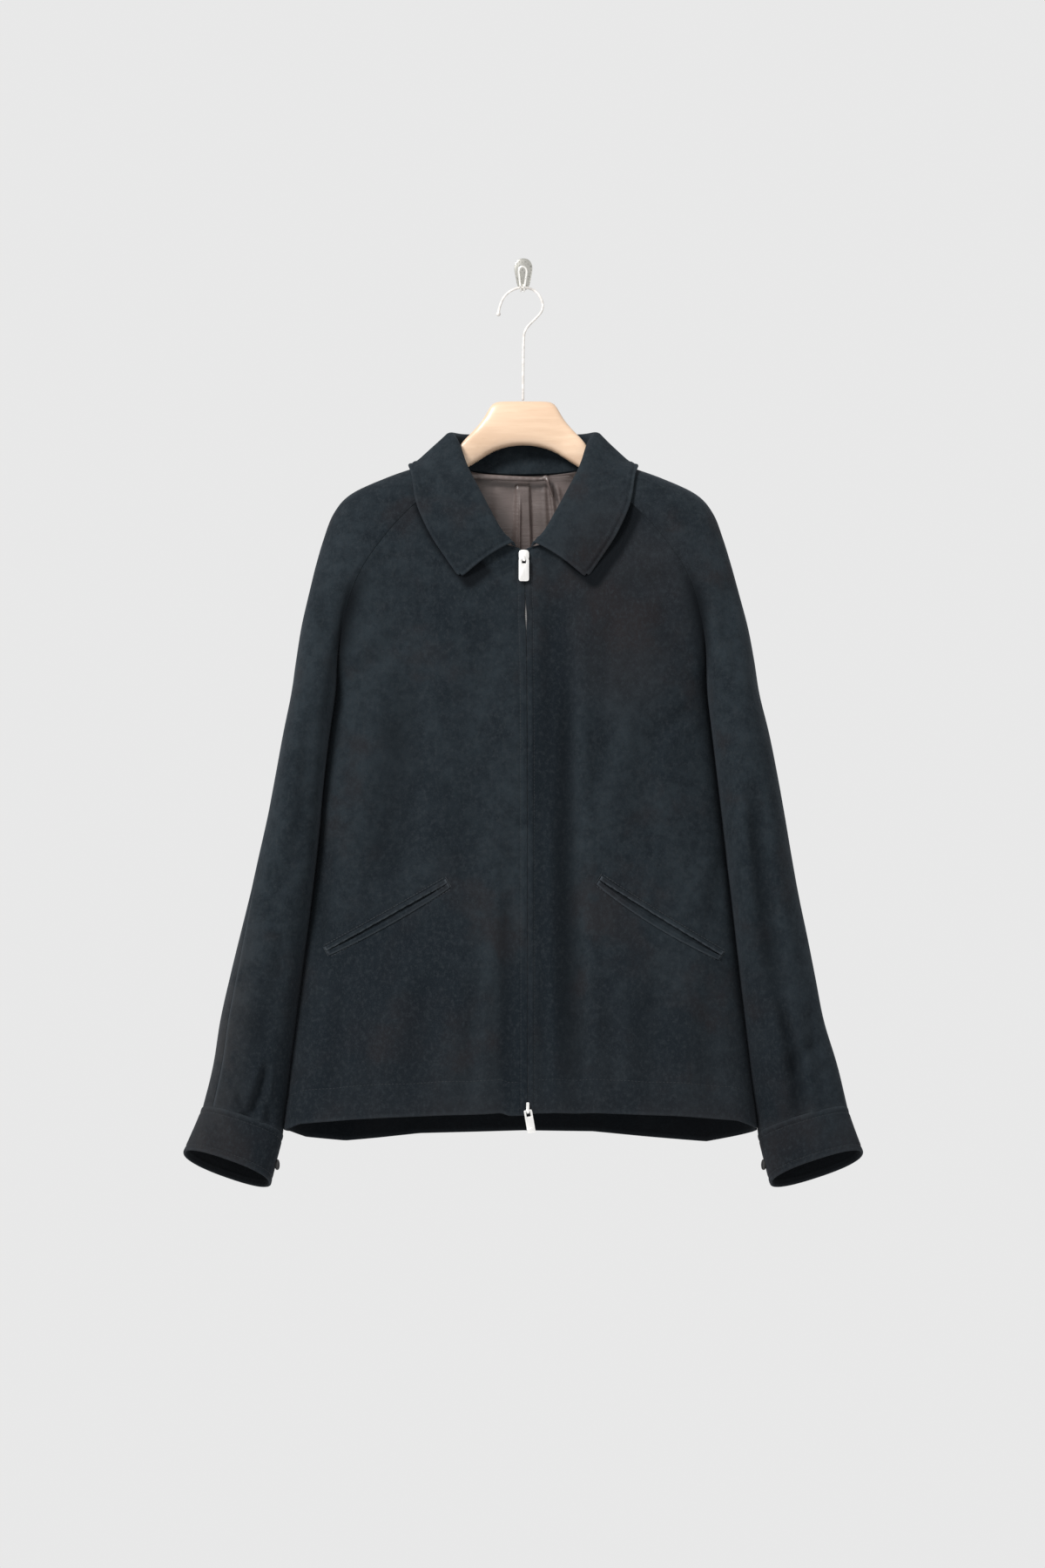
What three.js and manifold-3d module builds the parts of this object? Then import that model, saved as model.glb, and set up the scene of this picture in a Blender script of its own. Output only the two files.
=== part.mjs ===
// Dark suede jacket with raglan sleeves, zipped to the neck, on a wooden hanger that hangs
// from a small wall hook. Millimetres, +Z up, +X to the viewer's right, +Y into the wall.
// The origin is the middle of the wall plate's back face. Left and right are the viewer's.
import * as THREE from 'three';
import { mergeVertices } from 'three/addons/utils/BufferGeometryUtils.js';
import Module from 'manifold-3d';

const wasm = await Module();
wasm.setup();

// Driving sizes
const SEAM_GAP = 0.3;
const SUEDE_WALL = 2;
const COLLAR_WALL = 2.2;
const LINING_WALL = 1;
const TAPE_WALL = 1;
const WELT_WALL = 1.5;
const CUFF_FLARE = 0.25;
const CUFF_CLEAR = 0.4;
const SLEEVE_CLEAR = 0.35;
const ARMPIT_Z = -440;
const HEM_Z = -880;
const HEM_RISE = 6;
const NECK_Z = -296.5;
const BODY_ROUNDING = 2.8;
const SLEEVE_ROUNDING = 2.35;
const LOWER_ROWS = 10;
const FRONT_COLUMNS = 15;
const BACK_COLUMNS = 9;
const SLEEVE_COLUMNS = 8;
const ZIP_SLANT = 4.4;
const FRONT_EDGE = 0.5;
const SIDES = { left: -1, right: 1 };

// Turns rows of numbers into rows with named columns.
function table(columns, rows) {
  const names = columns.split(' ');
  return rows.map((row) => Object.fromEntries(names.map((name, i) => [name, row[i]])));
}

// Body below the armpit: half widths to each side seam and depths at centre front,
// centre back and side.
const BODY = table('z left right front back side', [
  [-440, 190, 186, -97, -10, -61],
  [-515, 200, 194.5, -99, -12, -62],
  [-590, 207, 203, -101.5, -12, -62],
  [-685, 218, 213.5, -106, -10, -62],
  [-787, 230.5, 224.5, -112, -8, -62],
  [-880, 241, 235, -119, -7, -63],
]);

// The four edges that the upper panels share, from the armpit up to the neck.
const RAGLAN_FRONT = table('x y z', [
  [188, -61, -440], [186.5, -72, -414], [184.5, -80, -389], [180, -85, -362], [173.5, -88, -337],
  [163, -89.5, -314], [148, -89, -291], [128, -86, -266], [106, -79.5, -244], [85, -71, -231],
  [67, -61, -223],
]);
const RAGLAN_BACK = table('x y z', [
  [188, -61, -440], [184, -44, -413], [178.5, -31, -387], [170, -22, -360], [160, -16.5, -333],
  [148, -13.5, -307], [133, -12, -282], [116, -12, -258], [97, -14, -237], [76, -18.5, -219],
  [56, -25.5, -205],
]);
const RIDGE = table('x y z', [
  [236.5, -61, -440], [231.5, -60, -406], [226, -58.5, -373], [219, -57, -343],
  [211, -55.5, -311], [202, -54, -280], [192, -52.5, -254], [175, -50.5, -234.5],
  [140, -47.5, -217.5], [106, -44.5, -205.2], [77, -42, -197],
]);
const FRONT_INNER = table('x y z', [
  [0, -97, -437], [0, -96, -411], [0, -95, -386], [0, -94, -362], [0, -93, -339], [0, -92, -317],
  [0, -91, NECK_Z], [20.5, -88.5, -288], [37.5, -84.5, -272.5], [53, -77, -253],
  [64.5, -66.5, -233.5],
]);
const SPINE = table('y z', [
  [-10, -440], [-9.5, -412], [-9.5, -384], [-10, -356], [-10.5, -329], [-11, -304], [-12, -280],
  [-13.5, -257], [-15, -237], [-16.5, -221], [-18, -209.5],
]);
// How far each of those rows is still a closed ring: 1 at the armpit, 0 where the crease ends.
const CREASE = [1, 0.86, 0.62, 0.34, 0.1, 0, 0, 0, 0, 0, 0];

// Sleeve below the armpit: heights of the inner and outer points, outer half widths,
// middle depth, front and back bulge, and how much the front of the ring is raised.
const SLEEVE = table('inner outer left right mid front back rise', [
  [-440, -440, 235, 239, -61, 45, 45, 0],
  [-500, -494, 245, 251, -62, 43, 44, 0],
  [-570, -560, 257, 263, -63, 42, 43, 0],
  [-650, -634, 273.5, 275.5, -64, 40, 41, 0],
  [-730, -706, 291, 290, -64, 37, 38, 1],
  [-800, -774, 306, 303, -64, 35, 35, 2],
  [-850, -824, 314, 318, -63, 33, 31, 4],
  [-886, -859.5, 323, 326, -62, 28, 26, 5.5],
  [-933, -903, 341, 341, -62, 25, 25, 8],
]);
const CUFF_SEAM = -886;
const CUFF_END = -933;
const OVERARM_TURN = table('z left right', [
  [-440, 0, 0], [-560, 4, 2], [-700, 34, 6], [-790, 42, 10], [-890, 46, 12],
]);

// Largest folds of the fronts and sleeves: line from top to bottom, half width and depth.
// A positive depth is a valley.
const FRONT_FOLDS = table('side topX topZ endX endZ half depth', [
  [-1, 127, -480, 152, -625, 13, 4.5],
  [-1, 17, -700, 18, -872, 9, 4],
  [-1, 60, -560, 74, -640, 16, 2],
  [1, 50, -430, 60, -872, 13, 7],
  [1, 30, -470, 31, -872, 11, -2.5],
  [1, 14, -600, 13, -690, 8, 2.5],
  [1, 120, -470, 104, -620, 15, 2.5],
]);
const SLEEVE_FOLDS = table('side topX topZ endX endZ half depth', [
  [1, 222, -500, 256, -745, 9, 4.5],
  [-1, 218, -470, 238, -640, 9, 2.5],
]);

// Collar, half: bottom of the stand, fold, and edge of the leaf, from centre back to the front
// end. The last row's fold and edge are the leaf's front edge.
const COLLAR = table('sx sy sz fx fy fz ex ey ez', [
  [0, -20.2, -208.8, 0, -15, -169, 0, -6.5, -228],
  [30, -21.8, -207.8, 30, -16.5, -169, 36, -7, -228],
  [58, -25.5, -204, 57, -22, -169.5, 76, -12, -224],
  [75.4, -42, -195.6, 69.2, -40, -171.5, 113, -43, -207],
  [71.2, -53.5, -206, 65, -51, -181, 113, -62, -220],
  [65, -64.5, -223, 58, -63, -205, 111, -79, -239],
  [54.5, -77, -242, 45.5, -77, -234, 104, -89.5, -260],
  [41.5, -86, -261, 34.5, -86, -257, 92, -94.5, -284],
  [25.5, -91, -279, 22.5, -92, -277, 78, -96.5, -305],
  [8.5, -93.5, -292, 10.6, -96, -288.5, 64, -97.5, -325],
]);
const FOLD_RADIUS = 4;
const LEAF_CLEAR = 3.1;

// Pocket slits, in the front view, from the inner to the outer end.
const POCKETS = table('side innerX innerZ outerX outerZ', [
  [-1, 77, -642, 197, -708],
  [1, 77, -639, 198, -711],
]);
const WELT_HEIGHT = 4.4;
const WELT_PARTING = 1.2;

// Wooden hanger: top and bottom edge, middle depth and half thickness, from the middle out.
const HANGER = table('x top bottom mid half', [
  [0, -135.3, -181.4, -34, 9], [12, -135.3, -182.2, -34, 9], [24, -135.3, -185.3, -34, 9],
  [32, -137, -188.9, -34, 9], [37, -147, -191.9, -34, 9], [43, -157.5, -195.8, -35, 8.5],
  [54, -169.5, -203.3, -38, 7.5], [62, -178, -208.2, -40.5, 6], [66, -184.5, -210.8, -41.5, 5.5],
  [69.5, -200.5, -212.6, -42, 5.5], [78, -203.5, -219, -42.5, 6], [92, -207, -226, -43.5, 6.5],
  [110, -213.5, -234, -45, 7], [134, -222, -244, -47.5, 7.5], [154, -231, -253, -49, 8],
  [170, -239.5, -260, -50, 9], [181, -248, -264, -51, 9], [188, -256, -264, -51, 5],
]);
const WIRE_Y = -34;
const HOOK_WIRE = table('x z', [
  [-25.4, -45], [-23.8, -37], [-18.5, -26.6], [-9.7, -20.4], [-0.9, -18.6], [7, -19.6],
  [13.5, -23.4], [18.5, -31], [20, -37.2], [18.6, -43.5], [12, -51], [3.4, -60], [0.8, -65.5],
  [0.2, -74], [-0.4, -134.8],
]);
const HOOK_RADIUS = 1.4;
const WALL_WIRE = table('x y z', [
  [-1.7, -2.95, -11], [-1.7, -6, -11.2], [-1.7, -14, -17], [-1.7, -24, -20.8], [-1.7, -34, -21.6],
  [-2, -41, -19.6], [-3, -45, -12.5], [-4.1, -46.2, -5], [-3.6, -46.6, -1], [-2.4, -46.7, 0.8],
  [0, -46.8, 1.5],
]);
const WALL_WIRE_X = -0.9;
const WALL_WIRE_RADIUS = 1.15;

const COLOURS = {
  suede: 0x262c31, lining: 0x7a6b64, tape: 0x23272b, silver: 0xd6d6d4, wood: 0xf3cfae,
  button: 0x2a2a2c, nickel: 0xb9b5ae,
};

// Short maths
const mix = (a, b, t) => a + (b - a) * t;
const clamp = (t) => Math.min(1, Math.max(0, t));
const ease = (t) => clamp(t) ** 2 * (3 - 2 * clamp(t));
const range = (count, by = count) => Array.from({ length: count + 1 }, (_, i) => i / by);
const vec = (x, y, z) => new THREE.Vector3(x, y, z);
const cornered = (u, power) => (1 - Math.min(1, Math.abs(u)) ** power) ** (1 / power);
const zipX = (z) => ZIP_SLANT * (1 - Math.exp(Math.min(0, z - NECK_Z) / 75));

// Smooth value of a named column at a place along a table that runs up or down.
function along(rows, name, key, at) {
  const sign = Math.sign(rows[rows.length - 1][key] - rows[0][key]);
  let i = 0;
  while (i < rows.length - 2 && sign * (at - rows[i + 1][key]) > 0) i += 1;
  const [a, b] = [rows[i], rows[i + 1]];
  const span = b[key] - a[key];
  const slope = (p, q) => (q[name] - p[name]) / (q[key] - p[key]);
  const startSlope = i > 0 ? slope(rows[i - 1], b) : slope(a, b);
  const endSlope = i < rows.length - 2 ? slope(a, rows[i + 2]) : slope(a, b);
  const t = (at - a[key]) / span;
  if (t < 0) return a[name] + startSlope * (at - a[key]);
  if (t > 1) return b[name] + endSlope * (at - b[key]);
  const [t2, t3] = [t * t, t * t * t];
  return a[name] * (2 * t3 - 3 * t2 + 1) + startSlope * span * (t3 - 2 * t2 + t)
    + b[name] * (3 * t2 - 2 * t3) + endSlope * span * (t3 - t2);
}

// Steps from 0 to 1 that are evenly far apart along a rounded front.
function evenSteps(count, width, depth) {
  const fine = 400;
  const at = (k) => vec(width * k, depth * cornered(k, BODY_ROUNDING), 0);
  const lengths = [0];
  for (let i = 1; i <= fine; i += 1) {
    const before = at(Math.sin(((i - 1) / fine) * Math.PI / 2));
    lengths.push(lengths[i - 1] + before.distanceTo(at(Math.sin((i / fine) * Math.PI / 2))));
  }
  const steps = [];
  for (let j = 0; j <= count; j += 1) {
    const goal = lengths[fine] * (j / count);
    let i = 0;
    while (i < fine && lengths[i + 1] < goal) i += 1;
    const part = i < fine ? (goal - lengths[i]) / (lengths[i + 1] - lengths[i]) : 0;
    steps.push(Math.sin(((i + part) / fine) * Math.PI / 2));
  }
  steps[count] = 1;
  return steps;
}

// Depth that the folds of one side add at a place on a front or sleeve.
function foldDepth(folds, side, x, z) {
  let sum = 0;
  for (const fold of folds.filter((row) => row.side === side)) {
    const t = (z - fold.topZ) / (fold.endZ - fold.topZ);
    const middle = mix(fold.topX, fold.endX, t);
    const reach = ease((t + 0.18) / 0.3) * ease((1.18 - t) / 0.3);
    sum += fold.depth * reach * Math.exp(-(((x - middle) / fold.half) ** 2));
  }
  return sum;
}

// Side differences of the shared edges, largest at the armpit.
function shifted(rows, i, side, atArmpit) {
  const row = rows[i];
  const share = 1 - ease(i / 5);
  return vec(side * (row.x - side * atArmpit * share), row.y, row.z);
}
const frontSeam = (i, side) => shifted(RAGLAN_FRONT, i, side, 2);
const backSeam = (i, side) => shifted(RAGLAN_BACK, i, side, 2);
const ridge = (i, side) => shifted(RIDGE, i, side, -2);
const lowerZ = (i) => mix(HEM_Z, ARMPIT_Z, i / LOWER_ROWS);
const sideName = (side) => (side < 0 ? 'left' : 'right');
const bodyAt = (name, z) => along(BODY, name, 'z', z);

const HALF_WIDTH = 205;
const FRONT_STEPS = evenSteps(FRONT_COLUMNS, HALF_WIDTH, 38);
const BACK_STEPS = evenSteps(BACK_COLUMNS, HALF_WIDTH, 45);

function frontGrid(side) {
  const grid = [];
  const put = (x, y, z, u) => {
    const fade = 1 - ease((u - 0.8) / 0.18);
    return vec(x, y + foldDepth(FRONT_FOLDS, side, side * x, z) * fade, z);
  };
  for (let i = 0; i < LOWER_ROWS; i += 1) {
    const z = lowerZ(i);
    const rise = mix(3, HEM_RISE, i === 0 ? 1 : (ARMPIT_Z - z) / (ARMPIT_Z - HEM_Z));
    const edge = zipX(z) + side * FRONT_EDGE;
    grid.push(FRONT_STEPS.map((u) => {
      const depth = bodyAt('side', z) - bodyAt('front', z);
      const y = bodyAt('side', z) - depth * cornered(u, BODY_ROUNDING);
      return put(mix(edge, side * bodyAt(sideName(side), z), u), y, z + rise * (1 - u * u), u);
    }));
  }
  for (let i = 0; i < FRONT_INNER.length; i += 1) {
    const inner = FRONT_INNER[i];
    const seam = frontSeam(i, side);
    if (i === FRONT_INNER.length - 1) seam.lerp(frontSeam(i - 1, side), 0.06);
    const start = vec(zipX(inner.z) + side * (inner.x + FRONT_EDGE), inner.y, inner.z);
    grid.push(FRONT_STEPS.map((u) => {
      const bend = mix(u * u, 1 - cornered(u, BODY_ROUNDING), CREASE[i]);
      const drop = CREASE[i] > 0 ? mix(u, u * u, CREASE[i]) : u;
      return put(mix(start.x, seam.x, u), mix(start.y, seam.y, bend), mix(start.z, seam.z, drop), u);
    }));
  }
  return grid;
}

function backGrid() {
  const grid = [];
  const turns = [...BACK_STEPS.slice(1).reverse().map((u) => -u), ...BACK_STEPS];
  for (let i = 0; i < LOWER_ROWS; i += 1) {
    const z = lowerZ(i);
    const depth = bodyAt('back', z) - bodyAt('side', z);
    grid.push(turns.map((u) => {
      const wide = bodyAt(sideName(u), z);
      return vec(u * wide, bodyAt('side', z) + depth * cornered(u, BODY_ROUNDING), z);
    }));
  }
  for (let i = 0; i < SPINE.length; i += 1) {
    grid.push(turns.map((u) => {
      const seam = backSeam(i, u < 0 ? -1 : 1);
      const bend = mix(u * u, 1 - cornered(u, BODY_ROUNDING), CREASE[i]);
      return vec(Math.abs(u) * seam.x, mix(SPINE[i].y, seam.y, bend), mix(SPINE[i].z, seam.z, u * u));
    }));
  }
  return grid;
}

// Place on a sleeve's rounded ring: across from -1 to 1, and out from its middle line.
function ringAcross(turn) {
  const cos = Math.cos(turn);
  return -Math.sign(cos) * Math.abs(cos) ** (2 / SLEEVE_ROUNDING);
}
const ringOut = (turn) => Math.abs(Math.sin(turn)) ** (2 / SLEEVE_ROUNDING);

// One closed ring of a sleeve below the armpit; turn 0 is the underarm, pi the outer edge and
// everything past pi the back.
function sleevePoint(side, inner, turn) {
  const at = (name) => along(SLEEVE, name, 'inner', inner);
  const out = ringOut(turn);
  const u = (ringAcross(turn) + 1) / 2;
  const pastHem = Math.max(0, HEM_Z - inner);
  const bodySide = bodyAt(sideName(side), Math.max(inner, HEM_Z)) + CUFF_FLARE * pastHem;
  const x = mix(bodySide + 2 * SLEEVE_CLEAR, at(sideName(side)), u);
  const isFront = turn <= Math.PI;
  const z = mix(inner, at('outer'), u) + (isFront ? 1 : -1) * at('rise') * out;
  const bulge = isFront ? -at('front') : at('back');
  const fold = isFront ? foldDepth(SLEEVE_FOLDS, side, x, z) * ease(out * 1.5) : 0;
  return vec(side * x, at('mid') + bulge * out + fold, z);
}

// One row of a sleeve above the armpit, from the raglan seam to the ridge, front or back.
function shoulderRow(i, side, face, turns) {
  const seam = face < 0 ? frontSeam(i, side) : backSeam(i, side);
  seam.x += side * 2 * SLEEVE_CLEAR * CREASE[i] ** 3;
  const top = ridge(i, side);
  const start = (Math.PI / 2) * (1 - CREASE[i]);
  const ringBulge = face < 0 ? SLEEVE[0].front : SLEEVE[0].back;
  const bulge = mix(Math.abs(top.y - seam.y), ringBulge, CREASE[i]);
  const innerY = seam.y - face * bulge * ringOut(start);
  return turns.map((share) => {
    const turn = mix(start, Math.PI, share);
    const u = (ringAcross(turn) - ringAcross(start)) / (1 - ringAcross(start));
    const y = mix(innerY, top.y, u) + face * bulge * ringOut(turn);
    return vec(mix(seam.x, top.x, u), y, mix(seam.z, top.z, u));
  });
}

function sleeveGrid(side, face) {
  const shares = Array.from({ length: SLEEVE_COLUMNS + 1 }, (_, j) => j / SLEEVE_COLUMNS);
  const grid = [];
  for (let i = 0; i < LOWER_ROWS; i += 1) {
    const inner = mix(CUFF_SEAM, ARMPIT_Z, i / LOWER_ROWS);
    const seamTurn = Math.PI - (along(OVERARM_TURN, sideName(side), 'z', inner) * Math.PI) / 180;
    const last = face < 0 ? 0 : 2 * Math.PI;
    grid.push(shares.map((share) => sleevePoint(side, inner, mix(last, seamTurn, share))));
  }
  for (let i = 0; i < RIDGE.length; i += 1) grid.push(shoulderRow(i, side, face, shares));
  return grid;
}

// Panels: outer grids, normals that agree across seams, then walls.
const panels = [];

function gridNormals(grid, out) {
  return grid.map((row, i) => row.map((point, j) => {
    const sum = vec(0, 0, 0);
    const pairs = [[1, 0, 0, 1], [0, 1, -1, 0], [-1, 0, 0, -1], [0, -1, 1, 0]];
    for (const [a, b, c, d] of pairs) {
      const first = grid[i + a]?.[j + b];
      const second = grid[i + c]?.[j + d];
      if (first && second) {
        const face = first.clone().sub(point).cross(second.clone().sub(point));
        if (face.length() > 1e-6) sum.add(face);
      }
    }
    return sum.multiplyScalar(out).normalize();
  }));
}

function addPanel(name, grid, out) {
  panels.push({ name, grid, out, normals: gridNormals(grid, out) });
}

const isEnd = (list, i) => i === 0 || i === list.length - 1;
const isRim = (grid, i, j) => isEnd(grid, i) || isEnd(grid[0], j);

// Rim points that meet another panel share one normal, so the walls end square to the seam.
function joinNormals() {
  const rims = [];
  for (const panel of panels) {
    panel.grid.forEach((row, i) => row.forEach((point, j) => {
      if (isRim(panel.grid, i, j)) rims.push({ panel, i, j, point, normal: panel.normals[i][j] });
    }));
  }
  for (const rim of rims) {
    const sum = rim.normal.clone();
    for (const other of rims) {
      const near = other.panel !== rim.panel && other.point.distanceTo(rim.point) < 1;
      if (near && other.normal.dot(rim.normal) > 0.2) sum.add(other.normal);
    }
    rim.joined = sum.normalize();
  }
  for (const rim of rims) rim.panel.normals[rim.i][rim.j] = rim.joined;
}

// Moves the rim of a panel back from its seams by half the seam gap.
function drawBack(panel) {
  const { grid } = panel;
  const [last, end] = [grid.length - 1, grid[0].length - 1];
  const moved = grid.map((row) => row.map((point) => point.clone()));
  const pull = (i, j, inI, inJ, alongI, alongJ) => {
    const inward = grid[inI][inJ].clone().sub(grid[i][j]);
    const tangent = grid[Math.min(last, i + alongI)][Math.min(end, j + alongJ)].clone()
      .sub(grid[Math.max(0, i - alongI)][Math.max(0, j - alongJ)]).normalize();
    inward.addScaledVector(tangent, -inward.dot(tangent));
    if (inward.length() > 1e-6) moved[i][j].addScaledVector(inward.normalize(), SEAM_GAP / 2);
  };
  for (let i = 0; i <= last; i += 1) {
    pull(i, 0, i, 1, 1, 0);
    pull(i, end, i, end - 1, 1, 0);
  }
  for (let j = 0; j <= end; j += 1) {
    pull(0, j, 1, j, 0, 1);
    pull(last, j, last - 1, j, 0, 1);
  }
  panel.grid = moved;
}

// Closed wall between an outer and an inner grid; a ring has its last column joined to its first.
function wallGeometry(outer, inner, ring = false) {
  const [rows, columns] = [outer.length, outer[0].length];
  const positions = [];
  for (const grid of [outer, inner]) {
    for (const row of grid) for (const point of row) positions.push(point.x, point.y, point.z);
  }
  const at = (i, j, layer) => layer * rows * columns + i * columns + (j % columns);
  const index = [];
  const quad = (a, b, c, d) => index.push(a, b, c, a, c, d);
  const cells = ring ? columns : columns - 1;
  for (let i = 0; i < rows - 1; i += 1) {
    for (let j = 0; j < cells; j += 1) {
      quad(at(i, j, 0), at(i, j + 1, 0), at(i + 1, j + 1, 0), at(i + 1, j, 0));
      quad(at(i, j, 1), at(i + 1, j, 1), at(i + 1, j + 1, 1), at(i, j + 1, 1));
    }
  }
  for (let j = 0; j < cells; j += 1) {
    quad(at(0, j, 0), at(0, j, 1), at(0, j + 1, 1), at(0, j + 1, 0));
    quad(at(rows - 1, j, 0), at(rows - 1, j + 1, 0), at(rows - 1, j + 1, 1), at(rows - 1, j, 1));
  }
  for (let i = 0; i < rows - 1 && !ring; i += 1) {
    quad(at(i, 0, 0), at(i + 1, 0, 0), at(i + 1, 0, 1), at(i, 0, 1));
    quad(at(i, cells, 0), at(i, cells, 1), at(i + 1, cells, 1), at(i + 1, cells, 0));
  }
  const geometry = new THREE.BufferGeometry();
  geometry.setAttribute('position', new THREE.Float32BufferAttribute(positions, 3));
  geometry.setIndex(index);
  return geometry;
}

// Turns a closed geometry so that its faces point out.
function faceOut(geometry) {
  const { array } = geometry.attributes.position;
  const index = geometry.index ? Array.from(geometry.index.array) : range(array.length / 3 - 1, 1);
  let volume = 0;
  for (let i = 0; i < index.length; i += 3) {
    const [a, b, c] = [0, 1, 2].map((k) => new THREE.Vector3().fromArray(array, index[i + k] * 3));
    volume += a.dot(b.cross(c));
  }
  if (volume < 0) index.reverse();
  geometry.setIndex(index);
  return geometry;
}

const group = new THREE.Group();
function addMesh(name, geometry, colour, rough = 0.9, metal = 0) {
  const material = new THREE.MeshStandardMaterial({
    color: COLOURS[colour], roughness: rough, metalness: metal,
  });
  faceOut(geometry);
  const mesh = new THREE.Mesh(geometry, material);
  mesh.name = name;
  group.add(mesh);
}

function moveGrid(grid, normals, far) {
  const farAt = typeof far === 'function' ? far : () => far;
  return grid.map((row, i) => row.map(
    (point, j) => point.clone().addScaledVector(normals[i][j], farAt(i, j)),
  ));
}

function addWall(name, grid, normals, near, far, colour, ring = false) {
  const outer = moveGrid(grid, normals, near);
  const inner = moveGrid(grid, normals, far);
  addMesh(name, wallGeometry(outer, inner, ring), colour);
}

for (const [name, side] of Object.entries(SIDES)) {
  addPanel(`front_${name}`, frontGrid(side), -side);
  addPanel(`sleeve_front_${name}`, sleeveGrid(side, -1), -side);
  addPanel(`sleeve_back_${name}`, sleeveGrid(side, 1), side);
}
addPanel('back', backGrid(), 1);
joinNormals();
for (const panel of panels) {
  drawBack(panel);
  addWall(panel.name, panel.grid, panel.normals, 0, -SUEDE_WALL, 'suede');
}
const panelNamed = (name) => panels.find((panel) => panel.name === name);

// Sampled cloth that lies on a panel, between fractional rows and columns of its grid.
function sampled(panel, rowTurns, columnTurns) {
  const grids = { points: [], normals: [] };
  for (const r of rowTurns) {
    for (const [key, source] of [['points', panel.grid], ['normals', panel.normals]]) {
      grids[key].push(columnTurns.map((c) => {
        const i = Math.min(source.length - 2, Math.floor(r));
        const j = Math.min(source[0].length - 2, Math.floor(c));
        const low = source[i][j].clone().lerp(source[i][j + 1], c - j);
        return low.lerp(source[i + 1][j].clone().lerp(source[i + 1][j + 1], c - j), r - i);
      }));
    }
  }
  return grids;
}

const weighed = (places, weights) => places.reduce(
  (sum, place, k) => sum.addScaledVector(place, weights[k]), vec(0, 0, 0),
);

// Place on a panel that lies straight behind a point of the front view.
function onPanel(panel, x, z) {
  for (let i = 0; i < panel.grid.length - 1; i += 1) {
    for (let j = 0; j < panel.grid[0].length - 1; j += 1) {
      const corners = [[i, j], [i, j + 1], [i + 1, j + 1], [i + 1, j]];
      for (const picks of [[0, 1, 2], [0, 2, 3]]) {
        const [a, b, c] = picks.map((k) => panel.grid[corners[k][0]][corners[k][1]]);
        const area = (b.x - a.x) * (c.z - a.z) - (c.x - a.x) * (b.z - a.z);
        const v = ((x - a.x) * (c.z - a.z) - (c.x - a.x) * (z - a.z)) / area;
        const w = ((b.x - a.x) * (z - a.z) - (x - a.x) * (b.z - a.z)) / area;
        if (Math.min(v, w, 1 - v - w) >= -1e-9) {
          const normals = picks.map((k) => panel.normals[corners[k][0]][corners[k][1]]);
          const weights = [1 - v - w, v, w];
          return {
            point: weighed([a, b, c], weights),
            normal: weighed(normals, weights).normalize(),
          };
        }
      }
    }
  }
  throw new Error(`no place at ${x}, ${z}`);
}

// Lining of the back with its centre pleat, and the hanging loop in front of it
const backPanel = panelNamed('back');
const LINING_CLEAR = 0.6;
const PLEAT = { half: 7, height: 4, at: 1 };
function buildLining() {
  const top = LOWER_ROWS + SPINE.length - 1;
  const middle = [-1, -0.5, -0.28, -0.14, 0, 0.14, 0.28, 0.5, 1].map((c) => BACK_COLUMNS + c);
  const sides = range(5, 1).map((c) => c + 2);
  const columns = [...sides, ...middle, ...sides.map((c) => 2 * BACK_COLUMNS - c).reverse()];
  const rows = [...range(9, 1).map((i) => i + LOWER_ROWS), top - 0.12];
  const { points, normals } = sampled(backPanel, rows, columns);
  const pleat = (i, j) => clamp(1.6 - Math.abs(points[i][j].x - PLEAT.at) / PLEAT.half);
  const lift = (i, j) => -SUEDE_WALL - LINING_CLEAR - PLEAT.height * pleat(i, j);
  const outer = moveGrid(points, normals, lift);
  const inner = moveGrid(points, normals, (i, j) => lift(i, j) - LINING_WALL);
  addMesh('lining_back', wallGeometry(outer, inner), 'lining', 0.5);
}
buildLining();

const LOOP = table('x y z', [
  [-54, -31.4, -212], [-40, -28.2, -213], [-22, -26.6, -213.8], [-4, -27.4, -214.5],
  [12, -27, -214.8], [22, -25.8, -214.6], [26, -25.8, -215.2],
]);
const LOOP_TAPE = { half: 2.6, crown: 0.8, thick: 1.2 };
function buildLoop() {
  const grid = LOOP.map((row, i) => [1, 0, -1].map((up) => vec(
    row.x,
    row.y - LOOP_TAPE.crown * (1 - Math.abs(up)),
    row.z + LOOP_TAPE.half * up * (i > 4 ? 0.75 : 1),
  )));
  const back = grid.map((row) => row.map((point) => point.clone().add(vec(0, LOOP_TAPE.thick, 0))));
  addMesh('hanger_loop', wallGeometry(grid, back), 'lining', 0.5);
}
buildLoop();

// Collar: one folded wall from the neck seam over the fold to the edge of the leaf
function collarSection(row, side) {
  const foot = vec(side * row.sx, row.sy, row.sz);
  const fold = vec(side * row.fx, row.fy, row.fz);
  const edge = vec(side * row.ex, row.ey, row.ez);
  const rise = fold.clone().sub(foot);
  const radius = Math.min(FOLD_RADIUS, rise.length() * 0.75);
  const up = rise.normalize();
  const off = edge.clone().sub(fold);
  off.addScaledVector(up, -off.dot(up)).normalize();
  const centre = fold.clone().addScaledVector(up, -radius).addScaledVector(off, radius);
  const toEdge = edge.clone().sub(centre);
  const [ew, eu] = [toEdge.dot(off), toEdge.dot(up)];
  const last = Math.atan2(eu, ew) + Math.acos(radius / Math.hypot(ew, eu));
  const place = (turn) => centre.clone().addScaledVector(off, Math.cos(turn) * radius)
    .addScaledVector(up, Math.sin(turn) * radius);
  const points = [foot, foot.clone().lerp(place(Math.PI), 0.5)];
  for (let k = 0; k <= 5; k += 1) points.push(place(mix(Math.PI, last, k / 5)));
  const leave = points[points.length - 1];
  for (const t of [0.25, 0.5, 0.75, 1]) points.push(leave.clone().lerp(edge, t));
  return points;
}

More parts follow.
